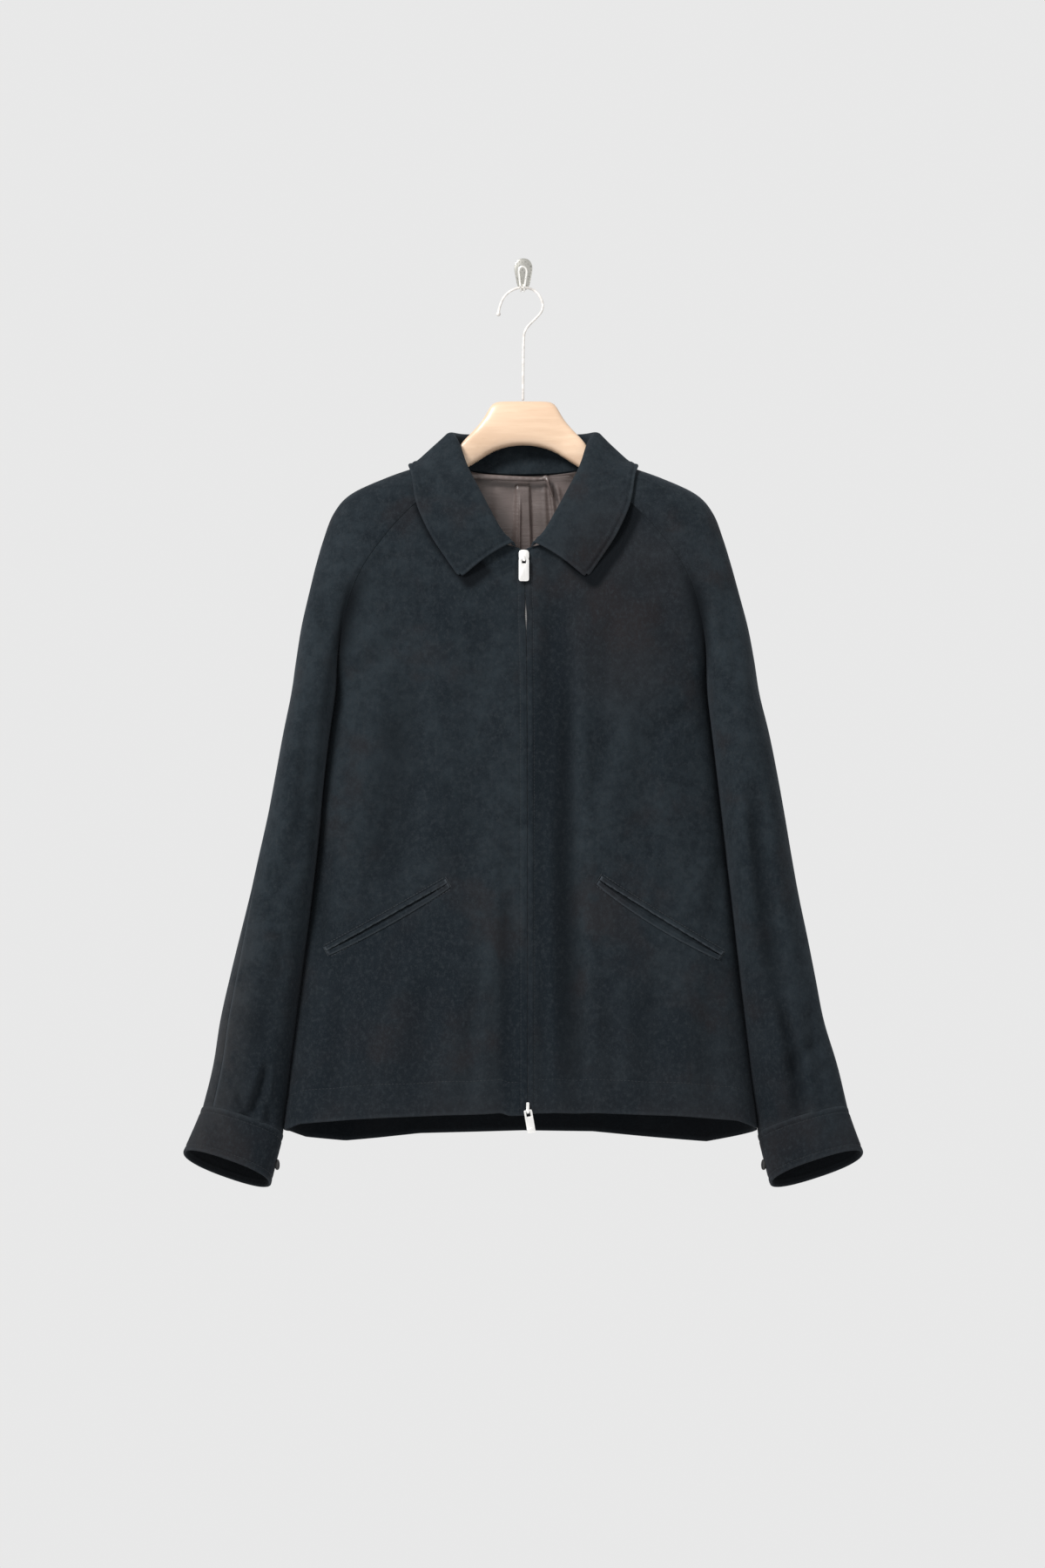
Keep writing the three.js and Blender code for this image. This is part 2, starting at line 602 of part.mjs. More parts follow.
// Moves a point of the leaf out until it lies at least so far off the panels under it.
const shoulderTriangles = panels.flatMap(({ grid, out }) => grid.slice(LOWER_ROWS + 2, -1).flatMap(
  (row, i) => row.slice(0, -1).flatMap((point, j) => {
    const above = grid[i + LOWER_ROWS + 3];
    const pair = [[point, above[j], above[j + 1]], [point, above[j + 1], row[j + 1]]];
    return pair.map(([a, b, c]) => new THREE.Triangle(...(out > 0 ? [a, b, c] : [a, c, b])));
  }),
));
function keepOff(point, least) {
  const [near, normal] = [vec(0, 0, 0), vec(0, 0, 0)];
  for (let round = 0; round < 2; round += 1) {
    let best = { far: Infinity };
    for (const triangle of shoulderTriangles) {
      triangle.closestPointToPoint(point, near);
      const far = near.distanceTo(point);
      if (far < best.far) best = { far, near: near.clone(), normal: triangle.getNormal(normal).clone() };
    }
    const off = point.clone().sub(best.near).dot(best.normal);
    if (off < least) point.addScaledVector(best.normal, least - off);
  }
}

function buildCollar() {
  const half = 15;
  const grid = [];
  const stations = COLLAR.map((row, i) => ({ ...row, i }));
  for (let k = -half; k <= half; k += 1) {
    const at = (Math.abs(k) / half) * (COLLAR.length - 1);
    const row = {};
    for (const name of Object.keys(COLLAR[0])) row[name] = along(stations, name, 'i', at);
    grid.push(collarSection(row, k < 0 ? -1 : 1));
  }
  for (const row of grid) for (const point of row.slice(7)) keepOff(point, COLLAR_WALL + LEAF_CLEAR);
  const normals = gridNormals(grid, -1);
  addWall('collar', grid, normals, 0, -COLLAR_WALL, 'suede');
}
buildCollar();

// Double welts of the slanted pockets
const WELT_CLEAR = 0.7;
function buildWelts(row) {
  const panel = panelNamed(`front_${sideName(row.side)}`);
  const inner = vec(row.side * row.innerX, 0, row.innerZ);
  const outer = vec(row.side * row.outerX, 0, row.outerZ);
  const run = outer.clone().sub(inner).normalize();
  const up = vec(-run.z * row.side, 0, run.x * row.side);
  for (const [name, first, second] of [['upper', 1, 0], ['lower', 0, -1]]) {
    const cut = (WELT_PARTING / 2) * (first ? 1 : -1);
    const rise = [first, (first + second) / 2, second].map((k) => cut + k * WELT_HEIGHT);
    const points = [];
    const normals = [];
    for (const t of range(12)) {
      const places = rise.map((far) => {
        const spot = inner.clone().lerp(outer, t).addScaledVector(up, far);
        return onPanel(panel, spot.x, spot.z);
      });
      points.push(places.map((place) => place.point));
      normals.push(places.map((place) => place.normal));
    }
    const node = `pocket_${sideName(row.side)}_welt_${name}`;
    addWall(node, points, normals, WELT_CLEAR + WELT_WALL, WELT_CLEAR, 'suede');
  }
}
for (const row of POCKETS) buildWelts(row);

// Zip tapes behind the front edges
const TAPE_CLEAR = 0.4;
for (const [name, side] of Object.entries(SIDES)) {
  const panel = panelNamed(`front_${name}`);
  const rows = [0.25, ...range(LOWER_ROWS + 5, 1).map((i) => i + 1)];
  const { points, normals } = sampled(panel, rows, [0, 1]);
  const near = -SUEDE_WALL - TAPE_CLEAR;
  addWall(`zip_tape_${name}`, points, normals, near, near - TAPE_WALL, 'tape');
}

// Cuffs: closed bands that go on from the sleeves, each with a round button on its inner side
const CUFF_COLUMNS = 28;
const BUTTON_PROFILE = [
  [0, 0], [4.6, 0], [5.4, 0.5], [5.4, 2], [4.8, 2.6], [4, 2.4], [3.4, 1.8], [0, 1.8],
];
const BUTTON = { drop: 0.62, lean: 0.28, sunk: 1.6 };
function buildCuff(name, side) {
  const turns = range(CUFF_COLUMNS).slice(0, CUFF_COLUMNS).map((t) => t * 2 * Math.PI);
  const heights = range(3).map((t) => mix(CUFF_SEAM - CUFF_CLEAR, CUFF_END, t));
  const grid = heights.map((inner) => turns.map((turn) => sleevePoint(side, inner, turn)));
  const normals = grid.map((row, i) => row.map((point, j) => {
    const next = row[(j + 1) % row.length];
    const before = row[(j + row.length - 1) % row.length];
    const up = grid[Math.max(0, i - 1)][j].clone().sub(grid[Math.min(grid.length - 1, i + 1)][j]);
    return next.clone().sub(before).cross(up).multiplyScalar(side).normalize();
  }));
  addWall(`cuff_${name}`, grid, normals, 0, -SUEDE_WALL, 'suede', true);
  const place = sleevePoint(side, mix(CUFF_SEAM, CUFF_END, BUTTON.drop), 0);
  const rim = new THREE.LatheGeometry(BUTTON_PROFILE.map(([x, y]) => new THREE.Vector2(x, y)), 20);
  rim.rotateZ(side * (Math.PI / 2 + BUTTON.lean));
  rim.translate(place.x - side * BUTTON.sunk, place.y, place.z);
  addMesh(`cuff_button_${name}`, rim, 'button', 0.4);
}
for (const [name, side] of Object.entries(SIDES)) buildCuff(name, side);

// Manifold solids of the zip
const MERGE_REACH = 1e-4;
function toSolid(geometry) {
  const bare = geometry.clone();
  bare.deleteAttribute('normal');
  if (bare.attributes.uv) bare.deleteAttribute('uv');
  const merged = mergeVertices(bare, MERGE_REACH);
  return new wasm.Manifold(new wasm.Mesh({
    numProp: 3,
    vertProperties: new Float32Array(merged.attributes.position.array),
    triVerts: new Uint32Array(merged.index.array),
  }));
}
function fromSolid(solid) {
  const mesh = solid.getMesh();
  const geometry = new THREE.BufferGeometry();
  const positions = Array.from(mesh.vertProperties);
  geometry.setAttribute('position', new THREE.Float32BufferAttribute(positions, 3));
  geometry.setIndex(Array.from(mesh.triVerts));
  return geometry;
}
function plate(width, top, bottom, corner, thick, hole) {
  const shape = new THREE.Shape();
  const half = width / 2;
  shape.moveTo(-half + corner, bottom);
  shape.lineTo(half - corner, bottom);
  shape.quadraticCurveTo(half, bottom, half, bottom + corner);
  shape.lineTo(half, top - corner);
  shape.quadraticCurveTo(half, top, half - corner, top);
  shape.lineTo(-half + corner, top);
  shape.quadraticCurveTo(-half, top, -half, top - corner);
  shape.lineTo(-half, bottom + corner);
  shape.quadraticCurveTo(-half, bottom, -half + corner, bottom);
  if (hole) shape.holes.push(hole);
  const geometry = new THREE.ExtrudeGeometry(shape, {
    depth: thick, bevelEnabled: false, curveSegments: 4,
  });
  geometry.translate(0, 0, -thick / 2);
  geometry.rotateX(Math.PI / 2);
  return geometry;
}
function windowPath(half, top, bottom) {
  const path = new THREE.Path();
  path.moveTo(-half, top);
  path.lineTo(half, top);
  path.lineTo(half, bottom);
  path.lineTo(-half, bottom);
  path.closePath();
  return path;
}

const ARCH = { out: 2.7, tunnel: 1.2, width: 2.6, ahead: 1.35 };
const SLIDER_BODY = { thick: 2.4, clear: 0.5 };
const PULL = { bar: 0.8, thick: 1.3, windowHalf: 2.1, grooveHigh: 0.7, grooveDeep: 0.4 };
const ZIP_ENDS = table('z bodyTop bodyBottom width corner long pullWidth pullCorner window groove tilt', [
  [-305.5, 9.5, -1.5, 10.4, 4, 23.5, 10.4, 2.6, -4.6, 0, 0],
  [-865, 8.5, -2.6, 3, 1.3, 23.2, 8.2, 1.6, -6, -17.4, 10],
]);
function crosswise(radius, width, sides) {
  return new THREE.CylinderGeometry(radius, radius, width, sides).rotateZ(Math.PI / 2);
}
function buildSlider(name, row) {
  const surface = Math.min(...[-1, 1].map((side) => onPanel(
    panelNamed(`front_${sideName(side)}`), zipX(row.z) + side * 3, row.z + row.bodyBottom + 1,
  ).point.y));
  const { thick, clear } = SLIDER_BODY;
  const face = surface - clear - thick;
  const tilt = (row.tilt * Math.PI) / 180;
  const place = (geometry) => geometry.rotateY(-tilt).translate(0, face - ARCH.ahead, 0);
  const body = plate(row.width, row.bodyTop, row.bodyBottom, row.corner, thick);
  const arch = toSolid(place(crosswise(ARCH.out, ARCH.width, 20)));
  const tunnel = toSolid(place(crosswise(ARCH.tunnel, ARCH.width * 2, 16)));
  const slider = toSolid(body.translate(0, face + thick / 2, 0)).add(arch).subtract(tunnel);
  const window = windowPath(PULL.windowHalf, -PULL.bar, row.window);
  const end = PULL.bar - row.long;
  let pull = toSolid(place(plate(
    row.pullWidth, PULL.bar, end, row.pullCorner, PULL.thick, window,
  )));
  if (row.groove) {
    const groove = new THREE.BoxGeometry(row.pullWidth * 2, PULL.grooveDeep * 2, PULL.grooveHigh);
    pull = pull.subtract(toSolid(place(groove.translate(0, -PULL.thick / 2, row.groove))));
  }
  const pieces = { slider, pull };
  for (const [kind, solid] of Object.entries(pieces)) {
    const geometry = fromSolid(solid).translate(zipX(row.z), 0, row.z);
    addMesh(`zip_${kind}_${name}`, geometry, 'silver', 0.3, 1);
  }
}
buildSlider('top', ZIP_ENDS[0]);
buildSlider('bottom', ZIP_ENDS[1]);

// Wooden hanger, its hook, and the wall hook
function buildHanger() {
  const places = [...HANGER.slice(1).reverse().map((row) => ({ ...row, x: -row.x })), ...HANGER];
  const grid = places.map((row) => Array.from({ length: 14 }, (_, k) => {
    const turn = ((k + 0.5) / 14) * 2 * Math.PI;
    const [c, s] = [Math.cos(turn), Math.sin(turn)];
    const round = (value) => Math.sign(value) * Math.abs(value) ** 0.62;
    const middle = (row.top + row.bottom) / 2;
    return vec(row.x, row.mid + row.half * round(c), middle + ((row.top - row.bottom) / 2) * round(s));
  }));
  const positions = grid.flat().flatMap((point) => [point.x, point.y, point.z]);
  const count = grid[0].length;
  const index = [];
  for (let i = 0; i < grid.length - 1; i += 1) {
    for (let k = 0; k < count; k += 1) {
      const [a, b] = [i * count + k, i * count + ((k + 1) % count)];
      index.push(a, b, b + count, a, b + count, a + count);
    }
  }
  const base = (grid.length - 1) * count;
  for (let k = 1; k < count - 1; k += 1) {
    index.push(0, k + 1, k);
    index.push(base, base + k, base + k + 1);
  }
  const geometry = new THREE.BufferGeometry();
  geometry.setAttribute('position', new THREE.Float32BufferAttribute(positions, 3));
  geometry.setIndex(index);
  addMesh('hanger_wood', geometry, 'wood', 0.5);
}
buildHanger();

function tubeAlong(points, radius, steps) {
  const shape = new THREE.Shape();
  shape.absarc(0, 0, radius, 0, 2 * Math.PI, false);
  const path = new THREE.CatmullRomCurve3(points, false, 'centripetal');
  return new THREE.ExtrudeGeometry(shape, { steps, extrudePath: path, curveSegments: 5 });
}
function buildWires() {
  const hook = tubeAlong(HOOK_WIRE.map((row) => vec(row.x, WIRE_Y, row.z)), HOOK_RADIUS, 40);
  const ball = new THREE.SphereGeometry(2.4, 16, 10).translate(HOOK_WIRE[0].x, WIRE_Y, HOOK_WIRE[0].z - 1);
  addMesh('hanger_hook', fromSolid(toSolid(hook).add(toSolid(ball))), 'nickel', 0.25, 1);
  const leg = WALL_WIRE.map((row) => vec(row.x, row.y, row.z));
  const other = leg.slice(0, -1).reverse().map((point) => vec(-point.x, point.y, point.z));
  const loop = tubeAlong([...leg, ...other], WALL_WIRE_RADIUS, 40).translate(WALL_WIRE_X, 0, 0);
  addMesh('wall_hook_wire', loop, 'nickel', 0.25, 1);
  const pear = new THREE.Shape();
  pear.moveTo(0, 16.8);
  pear.bezierCurveTo(8, 16.8, 10.6, 9, 8.6, 1);
  pear.bezierCurveTo(7.2, -6, 7, -16.6, 0, -16.6);
  pear.bezierCurveTo(-7, -16.6, -7.2, -6, -8.6, 1);
  pear.bezierCurveTo(-10.6, 9, -8, 16.8, 0, 16.8);
  const back = new THREE.ExtrudeGeometry(pear, {
    depth: 1.6,
    bevelEnabled: true,
    bevelThickness: 0.5,
    bevelSize: 0.6,
    bevelOffset: -0.6,
    bevelSegments: 2,
    curveSegments: 8,
  });
  addMesh('wall_plate', back.translate(0, 0, 0.5).rotateX(Math.PI / 2), 'nickel', 0.25, 1);
}
buildWires();

export default group;
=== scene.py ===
# A dark suede jacket on a wooden hanger. Shapes are in millimetres until a mesh is made.
import functools
import math
import bpy
import numpy as np
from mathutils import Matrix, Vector
from mathutils.bvhtree import BVHTree
from mathutils.kdtree import KDTree


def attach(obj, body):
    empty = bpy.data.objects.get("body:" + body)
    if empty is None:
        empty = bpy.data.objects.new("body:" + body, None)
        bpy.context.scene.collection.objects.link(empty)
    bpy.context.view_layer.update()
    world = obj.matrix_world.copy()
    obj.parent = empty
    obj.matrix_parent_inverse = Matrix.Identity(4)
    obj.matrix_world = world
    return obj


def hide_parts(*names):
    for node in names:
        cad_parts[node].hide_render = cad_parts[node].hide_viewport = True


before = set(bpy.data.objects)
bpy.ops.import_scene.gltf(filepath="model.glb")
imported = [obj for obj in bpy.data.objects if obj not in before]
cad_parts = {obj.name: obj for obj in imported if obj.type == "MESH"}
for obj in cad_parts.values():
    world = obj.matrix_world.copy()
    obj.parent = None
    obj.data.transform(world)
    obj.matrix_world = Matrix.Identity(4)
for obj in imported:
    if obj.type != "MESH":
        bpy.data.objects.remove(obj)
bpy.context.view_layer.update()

MM = 0.001
SIDES = {"left": -1, "right": 1}

# Driving sizes of the cloth
SUEDE_WALL = 2.0
COLLAR_WALL = 2.4
LINING_WALL = 0.9
SLEEVE_CLEAR = 0.05
ARMPIT_Z = -440
HEM_Z = -880
HEM_RISE = 6
NECK_Z = -296.5
BODY_ROUNDING = 2.8
SLEEVE_ROUNDING = 2.35
LOWER_ROWS = 10
ZIP_SLANT = 4.4
FRONT_EDGE = 0.45
CUFF_SEAM = -886
CUFF_END = -933
FINE_ROWS = 10
SEAM_PLACES = (1.4, 2.6, 4, 5.6)
SEAM_PUFF = 0.45
FRONT_ROLL = 0.6
ZIP_PLACES = (1.2, 2.4, 3.8, 5, 5.8, 6.6, 7.4, 8.6)
SPINE_PLACES = (2, 3.2, 4.4, 5.4, 6.2, 7, 7.8, 9, 11)
TOPSTITCH = 6.2
HEM_STITCH = 33
HEM_ROWS = (0.66, 0.7, 0.73, 0.75, 0.77, 0.8, 0.84)
ARMPIT_ROW = LOWER_ROWS * FINE_ROWS
SEAM_NEAR = 1.6
RIDGE_SHARE = 0.3
WAVE_COUNT = 7
FRONT_COLUMNS = 86
BACK_COLUMNS = 66
SLEEVE_COLUMNS = 48
CUFF_COLUMNS = 160
COLLAR_STATIONS = 110
WELT_STATIONS = 90
LEAF_START = 26
COLLAR_STITCH = 6
CUFF_STITCH = 5.2
STITCH_PITCH = 3.3
HEM_PITCH = 3.6
TOOTH_PITCH = 2.0
TOOTH_OFF = 0.75
FRONT_FACING = 42
HEM_FACING = 34
SLIT_DEPTH = 1.5
PULL_RISE = 0.9
TIP_STAND_OFF = 7


def table(columns, rows):
    """Rows of numbers as a dictionary of named columns."""
    return dict(zip(columns.split(), np.array(rows, float).T))


BODY = table("z left right front back side", [
    [-440, 190, 186, -97, -10, -61],
    [-515, 200, 194.5, -99, -12, -62],
    [-590, 207, 203, -101.5, -12, -62],
    [-685, 218, 213.5, -106, -10, -62],
    [-787, 230.5, 224.5, -112, -8, -62],
    [-880, 241, 235, -119, -7, -63],
])
RAGLAN_FRONT = table("x y z", [
    [188, -61, -440], [186.5, -72, -414], [184.5, -80, -389], [180, -85, -362],
    [173.5, -88, -337], [163, -89.5, -314], [148, -89, -291], [128, -86, -266],
    [106, -79.5, -244], [85, -71, -231], [67, -61, -223],
])
RAGLAN_BACK = table("x y z", [
    [188, -61, -440], [184, -44, -413], [178.5, -31, -387], [170, -22, -360],
    [160, -16.5, -333], [148, -13.5, -307], [133, -12, -282], [116, -12, -258],
    [97, -14, -237], [76, -18.5, -219], [56, -25.5, -205],
])
RIDGE = table("x y z", [
    [236.5, -61, -440], [231.5, -60, -406], [226, -58.5, -373], [219, -57, -343],
    [211, -55.5, -311], [202, -54, -280], [192, -52.5, -254], [175, -50.5, -234.5],
    [140, -47.5, -217.5], [106, -44.5, -205.2], [77, -42, -197],
])
FRONT_INNER = table("x y z", [
    [0, -97, -437], [0, -96, -411], [0, -95, -386], [0, -94, -362], [0, -93, -339],
    [0, -92, -317], [0, -91, NECK_Z], [20.5, -88.5, -288], [37.5, -84.5, -272.5],
    [53, -77, -253], [64.5, -66.5, -233.5],
])
SPINE = table("y z", [
    [-10, -440], [-9.5, -412], [-9.5, -384], [-10, -356], [-10.5, -329], [-11, -304],
    [-12, -280], [-13.5, -257], [-15, -237], [-16.5, -221], [-18, -209.5],
])
CREASE = [1, 0.86, 0.62, 0.34, 0.1, 0, 0, 0, 0, 0, 0]
SLEEVE = table("inner outer left right mid front back rise", [
    [-440, -440, 235, 239, -61, 45, 45, 0],
    [-500, -494, 245, 251, -62, 43, 44, 0],
    [-570, -560, 257, 263, -63, 42, 43, 0],
    [-650, -634, 273.5, 275.5, -64, 40, 41, 0],
    [-730, -706, 291, 290, -64, 37, 38, 1],
    [-800, -774, 306, 303, -64, 35, 35, 2],
    [-850, -824, 314, 318, -63, 33, 31, 4],
    [-886, -859.5, 323, 326, -62, 28, 26, 5.5],
    [-933, -903, 341, 341, -62, 25, 25, 8],
])
OVERARM_TURN = table("z left right", [
    [-440, 0, 0], [-560, 4, 2], [-700, 34, 6], [-790, 42, 10], [-890, 46, 12],
])
COLLAR = table("sx sy sz fx fy fz ex ey ez", [
    [0, -20.2, -208.8, 0, -15, -169, 0, -6.5, -228],
    [30, -21.8, -207.8, 30, -16.5, -169, 36, -7, -228],
    [58, -25.5, -204, 57, -22, -169.5, 76, -12, -224],
    [75.4, -42, -195.6, 69.2, -40, -171.5, 113, -43, -207],
    [71.2, -53.5, -206, 65, -51, -181, 113, -62, -220],
    [65, -64.5, -223, 58, -63, -205, 111, -79, -239],
    [54.5, -77, -242, 45.5, -77, -234, 104, -89.5, -260],
    [41.5, -86, -261, 34.5, -86, -257, 92, -94.5, -284],
    [25.5, -91, -279, 22.5, -92, -277, 78, -96.5, -305],
    [8.5, -93.5, -292, 10.6, -96, -288.5, 64, -97.5, -325],
])
FOLD_RADIUS = 4.2
LEAF_CLEAR = 0.5
LEAF_BOW = 2.6
COLLAR_CORNER = 6

# Folds as lines in the view of their own side: ends, bow to the side, half width and depth.
# A positive depth is a valley, with a softer ridge on both sides of it.
FRONT_FOLDS = table("side x0 z0 x1 z1 bow half depth", [
    [-1, 122, -430, 148, -640, 5, 25, 6],
    [-1, 214, -560, 206, -700, 2, 12, 5],
    [-1, 14, -640, 16, -872, 1, 11, 6],
    [-1, 31, -740, 34, -872, 1, 7, 2],
    [-1, 60, -560, 74, -640, 3, 16, 2],
    [-1, 172, -468, 120, -500, 6, 9, 2.2],
    [-1, 176, -420, 128, -372, -8, 10, 2.4],
    [-1, 150, -330, 96, -352, 5, 14, 1.5],
    [-1, 40, -350, 66, -470, 5, 15, 1.4],
    [-1, 96, -730, 112, -862, -3, 16, 3],
    [-1, 186, -730, 196, -866, 3, 11, 3],
    [-1, 205, -560, 190, -650, 3, 9, 2],
    [-1, 52, -740, 58, -868, 3, 10, 2.6],
    [-1, 14, -560, 13, -640, 1, 7, 2],
    [1, 46, -400, 57, -872, 4, 10, 6],
    [1, 27, -330, 33, -872, 3, 22, 6],
    [1, 26, -540, 30, -872, 2, 9, -3.5],
    [1, 12, -420, 13, -700, 1, 6, 2.5],
    [1, 15, -730, 14, -872, -1, 8, 4],
    [1, 86, -470, 78, -560, 4, 13, 2.5],
    [1, 130, -450, 112, -600, 4, 16, 3],
    [1, 172, -455, 128, -500, 6, 9, 2.4],
    [1, 176, -410, 134, -356, -8, 10, 2.2],
    [1, 146, -322, 92, -346, 5, 13, 1.6],
    [1, 92, -360, 74, -440, 4, 12, 1.6],
    [1, 130, -735, 122, -866, 3, 15, 3.5],
    [1, 184, -740, 192, -868, 3, 12, 3],
    [1, 204, -600, 188, -680, 3, 9, 2],
    [1, 88, -760, 92, -868, 3, 11, 3],
])
BACK_FOLDS = table("side x0 z0 x1 z1 bow half depth", [
    [-1, 176, -430, 96, -356, 10, 14, 3],
    [-1, 182, -470, 120, -520, 8, 12, 2.6],
    [-1, 60, -470, 74, -640, 6, 18, 3],
    [-1, 130, -600, 150, -860, 6, 20, 3.4],
    [-1, 40, -690, 46, -866, 4, 16, 2.6],
    [1, 178, -426, 104, -360, 10, 13, 2.8],
    [1, 180, -480, 128, -540, 7, 12, 2.4],
    [1, 44, -430, 62, -600, 6, 18, 3],
    [1, 118, -620, 128, -862, 6, 18, 3.6],
    [1, 186, -660, 196, -860, 4, 12, 2.4],
])
SLEEVE_FOLDS = table("side face x0 z0 x1 z1 bow half depth", [
    [1, -1, 232, -540, 257, -752, 4, 10, 8],
    [1, -1, 214, -430, 204, -372, 3, 7, 2.6],
    [1, -1, 196, -400, 206, -322, 3, 8, 2.2],
    [1, -1, 258, -756, 279, -868, -3, 7, 8],
    [1, -1, 292, -750, 300, -830, 3, 10, 3],
    [1, -1, 300, -790, 262, -838, 6, 8, 3],
    [-1, -1, 218, -470, 238, -640, 5, 9, 3.5],
    [-1, -1, 232, -424, 206, -452, 4, 8, 1.5],
    [-1, -1, 196, -392, 208, -318, 3, 8, 2.2],
    [-1, -1, 244, -690, 268, -800, 4, 9, 2.4],
    [-1, -1, 298, -760, 258, -806, 6, 8, 3],
    [-1, -1, 258, -818, 276, -872, 2, 5, 6],
    [-1, -1, 262, -846, 254, -876, 1, 4, 3],
    [-1, -1, 288, -846, 282, -882, 2, 5, 3.5],
    [1, 1, 220, -470, 244, -640, 4, 9, 3],
    [1, 1, 250, -660, 284, -820, 5, 10, 2.6],
    [1, 1, 234, -560, 262, -596, 4, 7, 1.8],
    [-1, 1, 214, -480, 242, -660, 4, 9, 3],
    [-1, 1, 248, -690, 280, -830, 5, 10, 2.6],
    [-1, 1, 238, -540, 218, -590, 4, 7, 1.8],
])


# Short maths
def mix(a, b, t):
    return a + (b - a) * t


def ease(t):
    t = np.clip(t, 0, 1)
    return t * t * (3 - 2 * t)


def cornered(u, power):
    return (1 - np.minimum(1, np.abs(u)) ** power) ** (1 / power)


def bell(distance, half):
    return np.exp(-((distance / half) ** 2))


def unit(vectors):
    """Vectors of length one, along the last axis."""
    return vectors / np.maximum(np.linalg.norm(vectors, axis=-1, keepdims=True), 1e-9)


def zip_x(z):
    return ZIP_SLANT * (1 - np.exp(np.minimum(0, z - NECK_Z) / 75))


def smooth_line(keys, values, at):
    """Smooth value at a place along rows whose key goes steadily up or down."""
    if keys[-1] < keys[0]:
        return smooth_line(-keys, values, -np.asarray(at, float))
    at = np.asarray(at, float)
    i = np.clip(np.searchsorted(keys, at) - 1, 0, len(keys) - 2)
    step = np.diff(keys)
    chord = np.diff(values) / step
    slope = np.empty(len(keys))
    slope[1:-1] = (values[2:] - values[:-2]) / (keys[2:] - keys[:-2])
    slope[0], slope[-1] = chord[0], chord[-1]
    t = np.clip((at - keys[i]) / step[i], 0, 1)
    start, end = slope[i] * step[i], slope[i + 1] * step[i]
    inside = (values[i] * (2 * t**3 - 3 * t**2 + 1) + start * (t**3 - 2 * t**2 + t)
              + values[i + 1] * (3 * t**2 - 2 * t**3) + end * (t**3 - t**2))
    beyond = np.where(at > keys[-1], (at - keys[-1]) * slope[-1], (at - keys[0]) * slope[0])
    return inside + np.where((at > keys[-1]) | (at < keys[0]), beyond, 0)


def body_at(name, z):
    return smooth_line(BODY["z"], BODY[name], z)


def side_name(side):
    return "left" if side < 0 else "right"


def shifted(rows, i, side, at_armpit):
    share = 1 - ease(i / 5)
    return np.array([side * (rows["x"][i] - side * at_armpit * share), rows["y"][i], rows["z"][i]])


def lower_z(i):
    return mix(HEM_Z, ARMPIT_Z, i / LOWER_ROWS)


def even_steps(count, width, depth, first=SEAM_PLACES, last=SEAM_PLACES):
    """Steps from 0 to 1, evenly far apart along a rounded front, closer near the seams."""
    fine = np.sin(np.linspace(0, math.pi / 2, 1200))
    path = np.stack([width * fine, depth * cornered(fine, BODY_ROUNDING)], 1)
    length = np.concatenate([[0], np.cumsum(np.linalg.norm(np.diff(path, axis=0), axis=1))])
    steps = np.interp(spread(count, length[-1], first, last) * length[-1], length, fine)
    steps[0], steps[-1] = 0, 1
    return steps


def spread(count, length, first=SEAM_PLACES, last=SEAM_PLACES):
    """Places from 0 to 1, with a few more at the given distances from both ends."""
    wanted = np.concatenate([np.array(first) / length, 1 - np.array(last) / length])
    even = np.linspace(0, 1, count + 1)
    clear = np.min(np.abs(even[:, None] - wanted[None]), axis=1) * length > 0.7
    clear[0] = clear[-1] = True
    return np.sort(np.concatenate([even[clear], wanted]))


def refine_rows(grid, count, extra=()):
    """More rows between the rows of a grid, along smooth curves."""
    grid = np.asarray(grid, float)
    keys = np.arange(len(grid), dtype=float)
    at = np.linspace(0, len(grid) - 1, (len(grid) - 1) * count + 1)
    at = np.unique(np.round(np.concatenate([at, extra]), 4))
    i = np.clip(at.astype(int), 0, len(grid) - 2)
    slope = np.gradient(grid, axis=0)
    t = (at - keys[i])[:, None, None]
    return (grid[i] * (2 * t**3 - 3 * t**2 + 1) + slope[i] * (t**3 - 2 * t**2 + t)
            + grid[i + 1] * (3 * t**2 - 2 * t**3) + slope[i + 1] * (t**3 - t**2))


def normals_of(grid, out, ring=False):
    """Outward directions of a grid of points."""
    if ring:
        across = np.roll(grid, -1, 1) - np.roll(grid, 1, 1)
    else:
        across = np.gradient(grid, axis=1)
    return unit(np.cross(np.gradient(grid, axis=0), across) * out)


def fold_lift(folds, x, z, **match):
    """How far the folds of a side press the cloth in at places of the front or back view."""
    sum_in = np.zeros_like(x)
    for k in range(len(folds["half"])):
        if any(folds[name][k] != value for name, value in match.items()):
            continue
        start = np.array([folds["x0"][k], folds["z0"][k]])
        line = np.array([folds["x1"][k], folds["z1"][k]]) - start
        length = np.linalg.norm(line)
        along = ((x - start[0]) * line[0] + (z - start[1]) * line[1]) / length**2
        bow = folds["bow"][k] * 4 * along * (1 - along)
        off = ((x - start[0]) * line[1] - (z - start[1]) * line[0]) / length - bow
        half = folds["half"][k] * (0.75 + 0.4 * np.clip(along, 0, 1))
        reach = ease((along + 0.15) / 0.4) * ease((1.15 - along) / 0.4)
        ridges = RIDGE_SHARE * bell(np.abs(off) - 1.9 * half, 0.9 * half)
        sum_in += folds["depth"][k] * reach * (bell(off, half) - ridges)
    return sum_in


